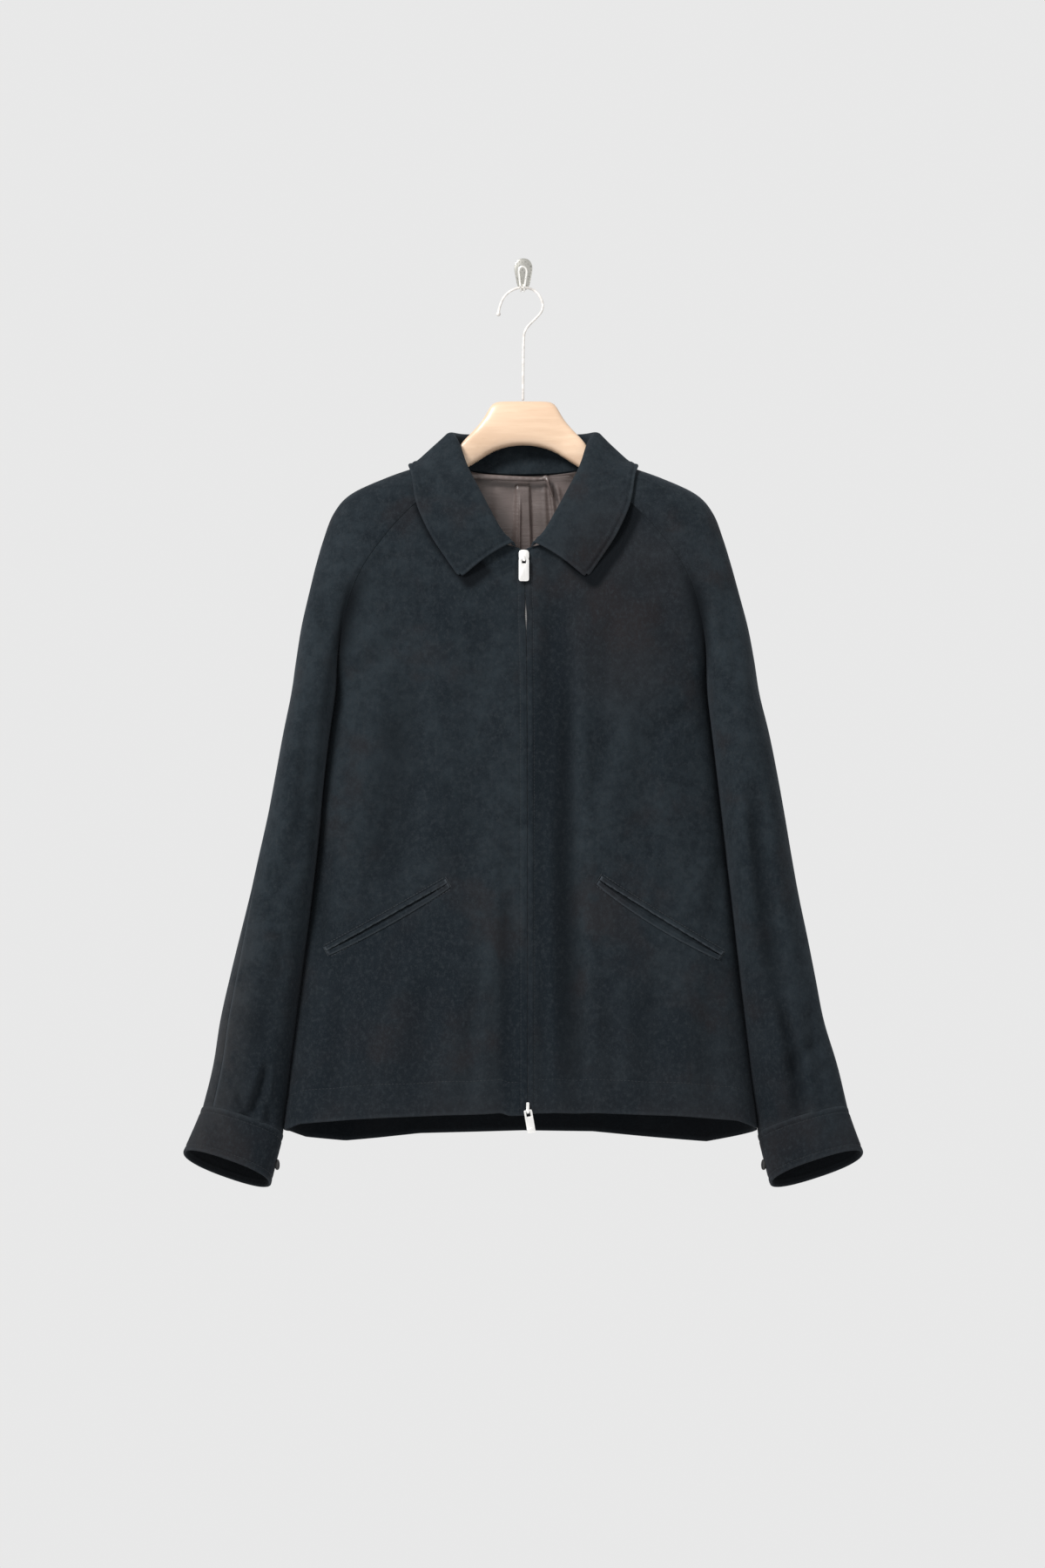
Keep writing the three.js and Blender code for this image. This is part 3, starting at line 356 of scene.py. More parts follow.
def soft_waves(x, z, size, seed):
    """Slow uneven rise and fall of hanging cloth, from a few crossed waves."""
    rng = np.random.default_rng(seed)
    wave = np.zeros_like(x)
    for _ in range(WAVE_COUNT):
        turn = rng.uniform(-0.5, 0.5)
        length = size * rng.uniform(0.6, 1.7)
        phase = rng.uniform(0, 6.3)
        along = x * math.cos(turn) + z * math.sin(turn) * 0.5
        wave += np.sin(along * 2 * math.pi / length + phase)
        wave += 0.6 * np.sin((z + x * 0.3) * 2 * math.pi / (length * 1.9) + phase * 2)
    return wave / WAVE_COUNT


def edge_distance(grid, ends):
    """Distance of each point from the chosen edges: first and last column, first and last row."""
    far = np.full(grid.shape[:2], 1e6)
    for k in np.flatnonzero(ends):
        axis = 1 - k // 2
        steps = np.linalg.norm(np.diff(grid, axis=axis), axis=2)
        if k % 2:
            steps = np.flip(steps, axis)
        start = np.zeros_like(np.take(steps, [0], axis))
        run = np.concatenate([start, np.cumsum(steps, axis)], axis)
        far = np.minimum(far, np.flip(run, axis) if k % 2 else run)
    return far


# Control grids of the panels
def front_grid(side, steps):
    rows = []
    for i in range(LOWER_ROWS):
        z = lower_z(i)
        rise = mix(3, HEM_RISE, 1 if i == 0 else (ARMPIT_Z - z) / (ARMPIT_Z - HEM_Z))
        depth = body_at("side", z) - body_at("front", z)
        x = mix(zip_x(z) + side * FRONT_EDGE, side * body_at(side_name(side), z), steps)
        y = body_at("side", z) - depth * cornered(steps, BODY_ROUNDING)
        rows.append(np.stack([x, y, z + rise * (1 - steps**2)], 1))
    for i in range(len(CREASE)):
        seam = shifted(RAGLAN_FRONT, i, side, 2)
        start = np.array([FRONT_INNER[c][i] for c in "xyz"])
        start[0] = zip_x(start[2]) + side * (start[0] + FRONT_EDGE)
        bend = mix(steps**2, 1 - cornered(steps, BODY_ROUNDING), CREASE[i])
        drop = mix(steps, steps**2, CREASE[i]) if CREASE[i] > 0 else steps
        rows.append(np.stack([mix(start[0], seam[0], steps), mix(start[1], seam[1], bend),
                              mix(start[2], seam[2], drop)], 1))
    return rows


def back_grid(steps):
    turns = np.concatenate([-steps[:0:-1], steps])
    wide = np.abs(turns)
    rows = []
    for i in range(LOWER_ROWS):
        z = lower_z(i)
        depth = body_at("back", z) - body_at("side", z)
        reach = np.where(turns < 0, body_at("left", z), body_at("right", z))
        y = body_at("side", z) + depth * cornered(turns, BODY_ROUNDING)
        rows.append(np.stack([turns * reach, y, np.full_like(turns, z)], 1))
    for i in range(len(CREASE)):
        left, right = (shifted(RAGLAN_BACK, i, s, 2) for s in (-1, 1))
        seam = np.where(turns[:, None] < 0, left, right)
        bend = mix(wide**2, 1 - cornered(wide, BODY_ROUNDING), CREASE[i])
        rows.append(np.stack([wide * seam[:, 0], mix(SPINE["y"][i], seam[:, 1], bend),
                              mix(SPINE["z"][i], seam[:, 2], wide**2)], 1))
    return rows


def ring_across(turn):
    cos = np.cos(turn)
    return -np.sign(cos) * np.abs(cos) ** (2 / SLEEVE_ROUNDING)


def ring_out(turn):
    return np.abs(np.sin(turn)) ** (2 / SLEEVE_ROUNDING)


def sleeve_ring(side, inner, turns):
    """Points of a sleeve's ring: turn 0 is the underarm, pi the outer edge, then the back."""
    at = {name: smooth_line(SLEEVE["inner"], SLEEVE[name], inner) for name in SLEEVE}
    u = (ring_across(turns) + 1) / 2
    out = ring_out(turns)
    flare = 0.25 * max(0, HEM_Z - inner)
    start = body_at(side_name(side), max(inner, HEM_Z)) + flare + 2 * SLEEVE_CLEAR
    front = turns <= math.pi
    x = mix(start, at[side_name(side)], u)
    y = at["mid"] + np.where(front, -at["front"], at["back"]) * out
    z = mix(inner, at["outer"], u) + np.where(front, 1, -1) * at["rise"] * out
    return np.stack([side * x, y, z], 1)


def shoulder_row(i, side, face, shares):
    seam = shifted(RAGLAN_FRONT if face < 0 else RAGLAN_BACK, i, side, 2)
    seam[0] += side * 2 * SLEEVE_CLEAR * CREASE[i] ** 3
    top = shifted(RIDGE, i, side, -2)
    start = (math.pi / 2) * (1 - CREASE[i])
    ring = SLEEVE["front" if face < 0 else "back"][0]
    bulge = mix(abs(top[1] - seam[1]), ring, CREASE[i])
    inner_y = seam[1] - face * bulge * ring_out(start)
    turns = mix(start, math.pi, shares)
    u = (ring_across(turns) - ring_across(start)) / (1 - ring_across(start))
    y = mix(inner_y, top[1], u) + face * bulge * ring_out(turns)
    return np.stack([mix(seam[0], top[0], u), y, mix(seam[2], top[2], u)], 1)


def sleeve_grid(side, face, shares):
    rows = []
    for i in range(LOWER_ROWS):
        inner = mix(CUFF_SEAM, ARMPIT_Z, i / LOWER_ROWS)
        bend = smooth_line(OVERARM_TURN["z"], OVERARM_TURN[side_name(side)], inner)
        first = 0 if face < 0 else 2 * math.pi
        rows.append(sleeve_ring(side, inner, mix(first, math.pi - math.radians(bend), shares)))
    rows += [shoulder_row(i, side, face, shares) for i in range(len(CREASE))]
    return rows


# Rise of the hems, left to right across the jacket
FRONT_HEM = table("x rise", [
    [-236, 0], [-226, 3], [-150, 4.5], [-40, 6], [-22, 7.5], [-14, 4.5], [0, 4.5],
    [14, 7], [60, 7.5], [150, 7], [215, 6], [236, 1],
])
BACK_HEM = table("x rise", [
    [-236, 0], [-220, -5], [-180, -8], [-150, -5], [-105, 0], [0, 3], [70, 2],
    [120, -3], [185, -9], [215, -4], [236, 0],
])


# Fine cloth
def drape(grid, out, folds, waves, seed, **match):
    """Adds folds and slow waves to a fine grid; both fade out towards its seams."""
    normals = normals_of(grid, out)
    x, z = np.abs(grid[:, :, 0]), grid[:, :, 2]
    calm = ease(edge_distance(grid, (1, 1, 0, 1)) / 26)
    sunk = fold_lift(folds, x, z, **match) * calm
    wave = waves * soft_waves(x, z, 90, seed) * ease(edge_distance(grid, (1, 1, 1, 1)) / 30)
    # The fold valleys also get painted shade, returned beside the grid.
    return grid + normals * (wave - sunk)[:, :, None], np.clip(sunk / 18, 0, 0.5)


def hem_shift(grid, profile, reach=60):
    """Raises or lowers a free bottom edge, by amounts given across the jacket."""
    far = edge_distance(grid, (0, 0, 1, 0))
    shift = np.interp(grid[:, :, 0], profile["x"], profile["rise"])
    grid = grid.copy()
    grid[:, :, 2] += shift * np.exp(-far / reach)
    return grid


def spread_zip(grid, side, middle=-363, half=9, gap=0.9, reach=14):
    """Parts the front edges a little below the collar, where the zip teeth show."""
    far = edge_distance(grid, (1, 0, 0, 0))
    share = bell(grid[:, :, 2] - middle, half) * ease(1 - far / reach)
    grid = grid.copy()
    grid[:, :, 0] += side * gap * share
    return grid


def path_lengths(line):
    return np.concatenate([[0], np.cumsum(np.linalg.norm(np.diff(line, axis=0), axis=1))])


def resampled(line, lengths, at):
    return np.stack([np.interp(at, lengths, line[:, k]) for k in range(3)], 1)


def draw_back(grid, first, last, reach=6):
    """Moves the ends of each row of points in along the row, by two small amounts."""
    rows = []
    for line in grid:
        lengths = path_lengths(line)
        total = lengths[-1]
        at = lengths + first * np.clip(1 - lengths / reach, 0, 1)
        at = at - last * np.clip(1 - (total - lengths) / reach, 0, 1)
        rows.append(resampled(line, lengths, at))
    return np.array(rows)


def draw_back_ends(grid, first, last):
    return draw_back(grid.transpose(1, 0, 2), first, last).transpose(1, 0, 2)


def press_line(grid, normals, edge, far, half, depth):
    """Presses a stitched groove into a grid, at a distance from one of its edges."""
    return grid - normals * (depth * bell(edge_distance(grid, edge) - far, half))[:, :, None]


def join_seams(panels):
    """Gives both sides of each seam the same direction, so that their walls meet squarely."""
    edges = [(panel, j) for panel in panels for j in (0, -1)]
    lines = [panel["grid"][:, j] for panel, j in edges]
    old = [panel["normals"][:, j].copy() for panel, j in edges]
    for k, (panel, j) in enumerate(edges):
        total = old[k].copy()
        for m, (other, _) in enumerate(edges):
            if other is panel:
                continue
            far = np.linalg.norm(lines[k][:, None] - lines[m][None], axis=2)
            mate = far.argmin(1)
            close = far[np.arange(len(mate)), mate] < SEAM_NEAR
            total += np.where(close[:, None], old[m][mate], 0)
        ends = (1, 0, 0, 0) if j == 0 else (0, 1, 0, 0)
        share = bell(edge_distance(panel["grid"], ends), 4)[:, :, None]
        panel["normals"] = unit(panel["normals"] * (1 - share) + unit(total)[:, None] * share)


def edge_turn(grid, normals, axis, last):
    """Unit directions that lead out of a grid over one of its edges."""
    at, inside = (-1, -2) if last else (0, 1)
    away = np.take(grid, at, axis) - np.take(grid, inside, axis)
    up = np.take(normals, at, axis)
    return unit(away - up * np.sum(away * up, axis=1, keepdims=True))


def linked(name, data):
    """A new object of the scene, at the origin."""
    piece = bpy.data.objects.new(name, data)
    bpy.context.scene.collection.objects.link(piece)
    return piece


def wall_mesh(name, grid, normals, wall, ring=False, facing=None, steps=3, inside=0.0, **marks):
    """A closed cloth wall with rolled edges. Its inner faces take the second material, apart
    from the facing, a mask of the grid's cells that keep the first one. The marks give, at
    each point, the painted shade and the pale nap that is partly rubbed wear and partly a
    painted highlight; the inner side has at least the painted shade that inside gives."""
    half = wall / 2
    pad = (steps, steps)
    side_pad = (0, 0) if ring else pad
    points = np.pad(grid, (pad, side_pad, (0, 0)), mode="edge")
    ups = np.pad(normals, (pad, side_pad, (0, 0)), mode="edge")
    roll = np.arange(1, steps + 1) / steps * math.pi / 2
    rows, columns = points.shape[:2]
    row_turn, column_turn = np.zeros(rows), np.zeros(columns)
    row_turn[:steps], row_turn[-steps:] = roll[::-1], roll
    shift = np.zeros_like(points)
    for last, span in ((False, slice(0, steps)), (True, slice(-steps, None))):
        out = np.pad(edge_turn(grid, normals, 0, last), (side_pad, (0, 0)), mode="edge")
        shift[span] += out[None] * (np.sin(row_turn[span]) * half)[:, None, None]
    if not ring:
        column_turn[:steps], column_turn[-steps:] = roll[::-1], roll
        for last, span in ((False, slice(0, steps)), (True, slice(-steps, None))):
            out = np.pad(edge_turn(grid, normals, 1, last), (pad, (0, 0)), mode="edge")
            shift[:, span] += out[:, None] * (np.sin(column_turn[span]) * half)[None, :, None]
    turn = np.maximum(row_turn[:, None], column_turn[None])
    drop = (half * (1 - np.cos(turn)))[:, :, None]
    outer = points + shift - ups * drop
    inner = points + shift - ups * (wall - drop)
    count = rows * columns
    index = np.arange(count).reshape(rows, columns)
    under = index + count
    under[turn > math.pi / 2 - 1e-6] = index[turn > math.pi / 2 - 1e-6]

    def cells(numbers, reverse):
        right = np.roll(numbers, -1, 1) if ring else numbers[:, 1:]
        left = numbers if ring else numbers[:, :-1]
        made = np.stack([left[:-1], right[:-1], right[1:], left[1:]], 2).reshape(-1, 4)
        return made[:, ::-1] if reverse else made

    faces = np.concatenate([cells(index, False), cells(under, True)])
    places = np.concatenate([outer.reshape(-1, 3), inner.reshape(-1, 3)]) * MM
    used, numbered = np.unique(faces, return_inverse=True)
    faces = numbered.reshape(faces.shape)
    mesh = bpy.data.meshes.new(name)
    mesh.from_pydata(places[used].tolist(), [], faces.tolist())
    half_count = len(faces) // 2
    a, b, c = (places[used][faces[:half_count, k]] for k in range(3))
    up = ups.reshape(-1, 3)[used[faces[:half_count, 0]]]
    if np.sum(np.cross(b - a, c - a) * up) < 0:
        mesh.flip_normals()
    mesh.polygons.foreach_set("use_smooth", np.ones(len(faces), bool))
    if facing is None:
        facing = np.zeros((grid.shape[0] - 1, grid.shape[1] - (0 if ring else 1)), bool)
    kept = np.pad(facing, (pad, side_pad), constant_values=True)
    slots = np.zeros(len(faces), int)
    slots[half_count:] = ~kept.reshape(-1)
    mesh.polygons.foreach_set("material_index", slots)
    for mark, amounts in marks.items():
        amounts = np.pad(amounts, (pad, side_pad), mode="edge").reshape(-1)
        attribute = mesh.attributes.new(mark, "FLOAT", "POINT")
        # Painted shade on the inner side: at least the amount that inside gives.
        within = np.maximum(amounts, inside) if mark == "crease" else amounts
        attribute.data.foreach_set("value", np.concatenate([amounts, within])[used])
    return linked(name, mesh)


def edge_band(grid, ends, deep=0.12, half=1.6):
    """A band along chosen edges, used for rubbed nap, painted highlights and painted shade."""
    return deep * bell(edge_distance(grid, ends), half)


def hem_wear_and_arm_highlight(name, grid):
    """Pale rubbed nap on the hems; wear and painted highlight low on the seams over the arms."""
    wear = edge_band(grid, (0, 0, 1, 0))
    if name.startswith("sleeve_front"):
        low = ease((-560 - grid[:, :, 2]) / 120)
        wear = np.maximum(wear, edge_band(grid, (0, 1, 0, 0), 0.4, 1.8) * low)
    return wear


def facing_cells(grid, band, ends):
    """Cells within a band of the chosen edges, where suede turns in over the lining."""
    return edge_distance(grid, ends)[:-1, :-1] < band


def edge_line(panel, edge, far, lift=0.0):
    """Points and directions along a panel, at a distance from one of its edges."""
    grid, normals = panel["grid"], panel["normals"]
    if edge in ("bottom", "top"):
        grid, normals = grid.transpose(1, 0, 2), normals.transpose(1, 0, 2)
    if edge in ("last", "top"):
        grid, normals = grid[:, ::-1], normals[:, ::-1]
    points, ups = [], []
    for line, up in zip(grid, normals):
        lengths = path_lengths(line)
        points.append(resampled(line, lengths, [far])[0])
        ups.append(resampled(up, lengths, [far])[0])
    return np.array(points) + np.array(ups) * lift, np.array(ups)


# Shader helpers
class Wire:
    """A socket of a material's node tree, with arithmetic that adds Math nodes."""

    def __init__(self, tree, socket):
        self.tree = tree
        self.socket = socket

    def node(self, kind, settings=None, out=0, **values):
        """Adds a node, applies its settings, then fills or links its inputs."""
        made = self.tree.nodes.new(kind)
        for name, value in (settings or {}).items():
            if name == "ramp":
                stops = made.color_ramp.elements
                while len(stops) < len(value):
                    stops.new(0.5)
                for stop, (place, colour) in zip(stops, value):
                    stop.position = place
                    stop.color = (*colour, 1) if len(colour) == 3 else colour
            else:
                setattr(made, name, value)
        for name, value in values.items():
            numbered = name[0] == "i" and name[1:].isdigit()
            key = int(name[1:]) if numbered else name.replace("_", " ")
            put(self.tree, made.inputs[key], value)
        return Wire(self.tree, made.outputs[out])

    def maths(self, operation, first, second=None):
        values = {"i0": first} if second is None else {"i0": first, "i1": second}
        return self.node("ShaderNodeMath", {"operation": operation}, **values)

    def __add__(self, other): return self.maths("ADD", self, other)
    def __radd__(self, other): return self.maths("ADD", other, self)
    def __sub__(self, other): return self.maths("SUBTRACT", self, other)
    def __rsub__(self, other): return self.maths("SUBTRACT", other, self)
    def __mul__(self, other): return self.maths("MULTIPLY", self, other)
    def __rmul__(self, other): return self.maths("MULTIPLY", other, self)
    def __truediv__(self, other): return self.maths("DIVIDE", self, other)

    def ramp(self, low, high):
        return self.node("ShaderNodeMapRange", {"interpolation_type": "SMOOTHSTEP"}, Value=self,
                         From_Min=low, From_Max=high)

    def blend(self, first, second):
        """A colour between two colours, by this value."""
        return self.node("ShaderNodeMix", {"data_type": "RGBA"}, out=2, i0=self, i6=first,
                         i7=second)


def put(tree, socket, value):
    if isinstance(value, Wire):
        tree.links.new(value.socket, socket)
    elif isinstance(value, (tuple, list)) and len(value) == 3 and socket.type == "RGBA":
        socket.default_value = (*value, 1)
    else:
        socket.default_value = value


def new_material(name, **fixed):
    """A material and its Object coordinates; fixed inputs are set straight on the shader."""
    material = bpy.data.materials.new(name)
    material.use_nodes = True
    tree = material.node_tree
    dress(material, **fixed)
    return material, Wire(tree, tree.nodes.new("ShaderNodeTexCoord").outputs["Object"])


def dress(material, **values):
    """Sets or links inputs of a material's Principled shader."""
    tree = material.node_tree
    for key, value in values.items():
        put(tree, tree.nodes["Principled BSDF"].inputs[key.replace("_", " ")], value)
    return material


def noise(place, scale, detail=3, rough=0.55, stretch=None):
    if stretch:
        place = place.node("ShaderNodeMapping", Vector=place, Scale=stretch)
    return place.node("ShaderNodeTexNoise", Vector=place, Scale=scale, Detail=detail,
                      Roughness=rough)


def bump(place, height, strength, distance, under=None):
    values = {"Height": height, "Strength": strength, "Distance": distance}
    if under is not None:
        values["Normal"] = under
    return place.node("ShaderNodeBump", **values)


def near(place, centre, reach, soft=0.5):
    """1 near a place of the jacket, fading to 0 at a reach given in metres for x, y and z."""
    moved = place.node("ShaderNodeMapping", {"vector_type": "POINT"}, Vector=place,
                       Location=tuple(-c / r for c, r in zip(centre, reach)),
                       Scale=tuple(1 / r for r in reach))
    far = moved.node("ShaderNodeVectorMath", {"operation": "LENGTH"}, out=1, i0=moved)
    return far.ramp(1, soft)


# Places of nap tone, painted shade and painted light: centre and reach in metres, and where the
# fade starts
ZONES = {
    "warm_chest": ((0.1, -0.1, -0.35), (0.12, 0.3, 0.17), 0.3),
    "quiet_chest": ((-0.1, -0.1, -0.52), (0.12, 0.3, 0.26), 0.3),
    # Deeper navy right of the zip, partly painted shade of the fold valley there.
    "placket_tone_and_shade": ((0.028, -0.1, -0.6), (0.032, 0.1, 0.34), 0.35),
    # Painted shade beside the zip, low on the left front.
    "low_zip_painted_shade": ((-0.008, -0.1, -0.79), (0.024, 0.1, 0.13), 0.3),
    "pale_arm": ((-0.335, -0.06, -0.68), (0.08, 0.3, 0.34), 0.3),
    # Painted light on the right sleeve, in a bluish tone.
    "painted_light_arm": ((0.31, -0.06, -0.62), (0.06, 0.3, 0.4), 0.3),
}
# Nap colours, among them those of the painted shade, painted highlight and painted light.
TONES = {
    "low": (0.0040, 0.0064, 0.0086), "high": (0.0112, 0.0157, 0.0192),
    "warm": (0.0102, 0.0092, 0.0102), "deep": (0.0034, 0.0058, 0.0082),
    "streak": (0.0150, 0.0185, 0.0215), "brushed": (0.021, 0.025, 0.029),
    "painted_light_blue": (0.0150, 0.0205, 0.0250), "pale": (0.023, 0.0228, 0.0235),
    "crease": (0.0011, 0.0019, 0.0028), "rubbed_and_lit": (0.036, 0.043, 0.049),
}


def suede_material():
    """Short dark navy nap with brown-black rubbed areas and lighter brushed streaks."""
    material, place = new_material(
        "navy_suede", Roughness=0.95, Specular_IOR_Level=0.1, Sheen_Weight=0.035,
        Sheen_Roughness=0.5, Sheen_Tint=(0.62, 0.72, 0.85))
    smoke = noise(place, 8, 4, 0.6, (1, 1, 0.55))
    patches = noise(place, 13, 5, 0.6)
    clouds = noise(place, 38, 5, 0.68)
    mottle = noise(place, 88, 6, 0.72)
    nap = noise(place, 260, 5, 0.72, (1, 1, 0.8))
    fibre = noise(place, 1100, 2, 0.6, (1, 1, 0.6))
    zone = {name: near(place, *row) for name, row in ZONES.items()}
    height = place.node("ShaderNodeSeparateXYZ", out=2, Vector=place)
    warm_cuffs, warm_hem = height.ramp(-0.84, -0.9), height.ramp(-0.6, -0.86)
    # Point marks: painted shade, and pale nap that is partly rubbed wear and partly a painted
    # highlight.
    crease, wear = (place.node("ShaderNodeAttribute", {"attribute_name": mark}, out=2)
                    for mark in ("crease", "wear"))
    warm = (zone["warm_chest"] * 0.6 + warm_cuffs * 0.7 + warm_hem * 0.35
            + patches.ramp(0.5, 0.68) * 0.65)
    # Darker: random patches, the hem and lower chest, and beside the zip a deeper navy with
    # painted shade.
    dark = (smoke.ramp(0.44, 0.66) * 0.55 + zone["placket_tone_and_shade"] * 0.75 + zone["low_zip_painted_shade"] * 0.8
            + warm_hem * 0.3 + zone["quiet_chest"] * 0.3)
    light = (smoke.ramp(0.56, 0.34) * 0.3 + clouds.ramp(0.34, 0.68) * 0.5
             + mottle.ramp(0.4, 0.64) * 0.5)
    # Painted light on the right sleeve, bluish and broken up by the mottle.
    painted_light_blue = zone["painted_light_arm"] * mottle.ramp(0.2, 0.7) * 0.8
    pale = zone["pale_arm"] * 0.8 * clouds.ramp(0.2, 0.6)
    colour = light.blend(TONES["low"], TONES["high"])
    for amount, tone in ((warm.ramp(0, 1.1), "warm"), (dark.ramp(0, 1), "deep"),
                         (nap.ramp(0.45, 0.7) * 0.6, "streak"),
                         (fibre.ramp(0.5, 0.8) * 0.35, "brushed"), (painted_light_blue, "painted_light_blue"),
                         (pale, "pale"), (crease, "crease"), (wear, "rubbed_and_lit")):
        colour = amount.blend(colour, TONES[tone])
    coarse = bump(place, clouds * 0.5 + mottle * 0.7, 0.5, 0.0018)
    fine = bump(place, nap * 0.7 + fibre * 0.5, 0.6, 0.0007, coarse)
    return dress(material, Base_Color=colour, Normal=fine)


def satin_material():
    """Taupe lining satin: smooth, with faint crosswise threads."""
    material, place = new_material(
        "taupe_satin", Specular_IOR_Level=0.5, Sheen_Weight=0.12, Sheen_Roughness=0.3)
    threads = noise(place, 900, 2, 0.5, (1, 1, 0.15))
    clouds = noise(place, 30, 3)
    colour = clouds.ramp(0.3, 0.7).blend((0.067, 0.051, 0.046), (0.104, 0.081, 0.075))
    wrinkles = bump(place, noise(place, 170, 3, 0.6, (0.2, 1, 1.5)), 0.45, 0.0012)
    fine = bump(place, threads, 0.12, 0.0002, wrinkles)
    return dress(material, Base_Color=colour, Roughness=threads * 0.14 + 0.3, Normal=fine)


def wood_material():
    """Pale maple under clear lacquer, with long fine grain."""
    material, place = new_material("pale_maple", Coat_Roughness=0.15, Coat_Weight=0.25)
    grain = noise(place, 60, 6, 0.6, (0.16, 1.6, 1.6))
    pores = noise(place, 700, 2, 0.5, (0.05, 1, 1))
    colour = grain.ramp(0.3, 0.75).blend((0.47, 0.325, 0.22), (0.55, 0.40, 0.28))
    colour = (pores.ramp(0.58, 0.8) * 0.3).blend(colour, (0.38, 0.25, 0.15))
    return dress(material, Base_Color=colour, Roughness=grain * 0.15 + 0.3,
                 Normal=bump(place, pores, 0.08, 0.0003))


def metal_material(name, colour, rough, specks, grain=1400):
    """Plated metal with fine scratches and, where specks is high, dull spots."""
    material, place = new_material(name, Metallic=1.0)
    spots = noise(place, grain, 3, 0.6)
    scratches = noise(place, 500, 2, 0.5, (1, 1, 0.2))
    dull = tuple(c * 0.4 for c in colour)
    return dress(material, Base_Color=(spots.ramp(0.5, 0.72) * specks).blend(colour, dull),
                 Roughness=scratches * 0.12 + rough,
                 Normal=bump(place, spots, 0.1 + 0.3 * specks, 0.0002))


def plain_material(name, colour, rough, grain=400):
    """Thread, tape and buttons: one colour with a fine uneven surface."""
    material, place = new_material(name, Specular_IOR_Level=0.35)
    speckle = noise(place, grain, 3)
    darker = tuple(c * 0.7 for c in colour)
    return dress(material, Base_Color=speckle.ramp(0.3, 0.7).blend(darker, colour),
                 Roughness=speckle * 0.15 + rough, Normal=bump(place, speckle, 0.2, 0.0003))


SUEDE = suede_material()
SATIN = satin_material()
MAPLE = wood_material()
BRIGHT_WIRE = plain_material("bright_wire", (0.6, 0.57, 0.54), 0.3, 300)
WALL_NICKEL = metal_material("worn_nickel", (0.5, 0.49, 0.45), 0.2, 0.9, 420)
WALL_WIRE = metal_material("wall_wire", (0.86, 0.84, 0.8), 0.25, 0.1)
ZIP_METAL = metal_material("zip_metal", (0.82, 0.81, 0.79), 0.3, 0.15)
TOOTH_METAL = metal_material("tooth_metal", (0.42, 0.41, 0.4), 0.35, 0.3)
THREAD = plain_material("dark_thread", (0.014, 0.017, 0.02), 0.7, 1500)
PALE_THREAD = plain_material("rubbed_thread", (0.036, 0.041, 0.045), 0.8, 1500)
TAPE = plain_material("zip_tape", (0.016, 0.018, 0.022), 0.85, 1800)
HORN = plain_material("dark_horn", (0.008, 0.0075, 0.0075), 0.5, 220)


def finish_piece(piece, materials, replaces=(), body="jacket"):
    for material in materials:
        piece.data.materials.append(material)
    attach(piece, body)
    if replaces:
        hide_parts(*replaces)
    return piece


def cloth_piece(node, kind, grid, normals, wall, slot, outer, within, **marks):
    """The closed wall of one cut piece of cloth, with its materials."""
    piece = wall_mesh(f"{node}_{kind}", grid, normals, wall, **marks)
    return finish_piece(piece, [outer, within], [node])


# Panels
panels = {}


def keep_panel(name, grid, out, shade):
    panels[name] = {"grid": grid, "normals": normals_of(grid, out), "out": out, "shade": shade}


def crease_shade(grid, ends, deep=1.0, half=12):
    """Painted shade beside the seam where sleeve and body press together."""
    return edge_band(grid, ends, deep, half) * ease((-292 - grid[:, :, 2]) / 60)


def build_fronts():
    steps = even_steps(FRONT_COLUMNS, width=205, depth=38, first=ZIP_PLACES)
    for word, side in SIDES.items():
        grid = refine_rows(front_grid(side, steps), FINE_ROWS, HEM_ROWS)
        grid = spread_zip(hem_shift(grid, FRONT_HEM), side)
        grid, shade = drape(grid, -side, FRONT_FOLDS, waves=0.9, seed=11 + side, side=side)
        shade = np.maximum(shade, crease_shade(grid, (0, 1, 0, 0)))
        keep_panel(f"front_{word}", grid, -side, shade)


def build_back():
    steps = even_steps(BACK_COLUMNS, width=205, depth=45, first=SPINE_PLACES)
    grid = hem_shift(refine_rows(back_grid(steps), FINE_ROWS, HEM_ROWS), BACK_HEM)
    (left, left_shade), (right, right_shade) = (
        drape(grid, 1, BACK_FOLDS, waves=1.2, seed=21, side=side) for side in (-1, 1))
    on_left = grid[:, :, 0] < 0
    grid = np.where(on_left[:, :, None], left, right)
    shade = np.where(on_left, left_shade, right_shade)
    keep_panel("back", grid, 1, np.maximum(shade, crease_shade(grid, (1, 1, 0, 0))))


def build_sleeves():
    shares = spread(SLEEVE_COLUMNS, length=150)
    for word, side in SIDES.items():
        for name, face in (("front", -1), ("back", 1)):
            grid = refine_rows(sleeve_grid(side, face, shares), FINE_ROWS)
            out, seed = side * face, 41 + 3 * side + face
            grid, shade = drape(grid, out, SLEEVE_FOLDS, 0.9, seed, side=side, face=face)
            shade = np.maximum(shade, crease_shade(grid, (1, 0, 0, 0), deep=0.85, half=9))
            keep_panel(f"sleeve_{name}_{word}", grid, out, shade)


def finish_panels():
    """Joins the seams, rolls the edges back by half a wall and presses in the stitched lines."""
    join_seams(list(panels.values()))
    roll = SUEDE_WALL / 2 - 0.05
    for name, panel in panels.items():
        front = name.startswith("front")
        grid = draw_back(panel["grid"], FRONT_ROLL if front else roll, roll)
        grid = draw_back_ends(grid, roll, roll)
        lines = [((not front, 1, 0, 0), 4, 2.6, -SEAM_PUFF)]
        if not name.startswith("sleeve"):
            lines.append(((0, 0, 1, 0), HEM_STITCH, 2.2, 0.45))
        if front:
            lines += [((1, 0, 0, 0), TOPSTITCH, 1.1, 0.6), ((1, 0, 0, 0), 3.2, 1.8, -0.5)]
        for line in lines:
            grid = press_line(grid, panel["normals"], *line)
        panel["grid"] = grid


build_fronts()
build_back()
build_sleeves()
finish_panels()


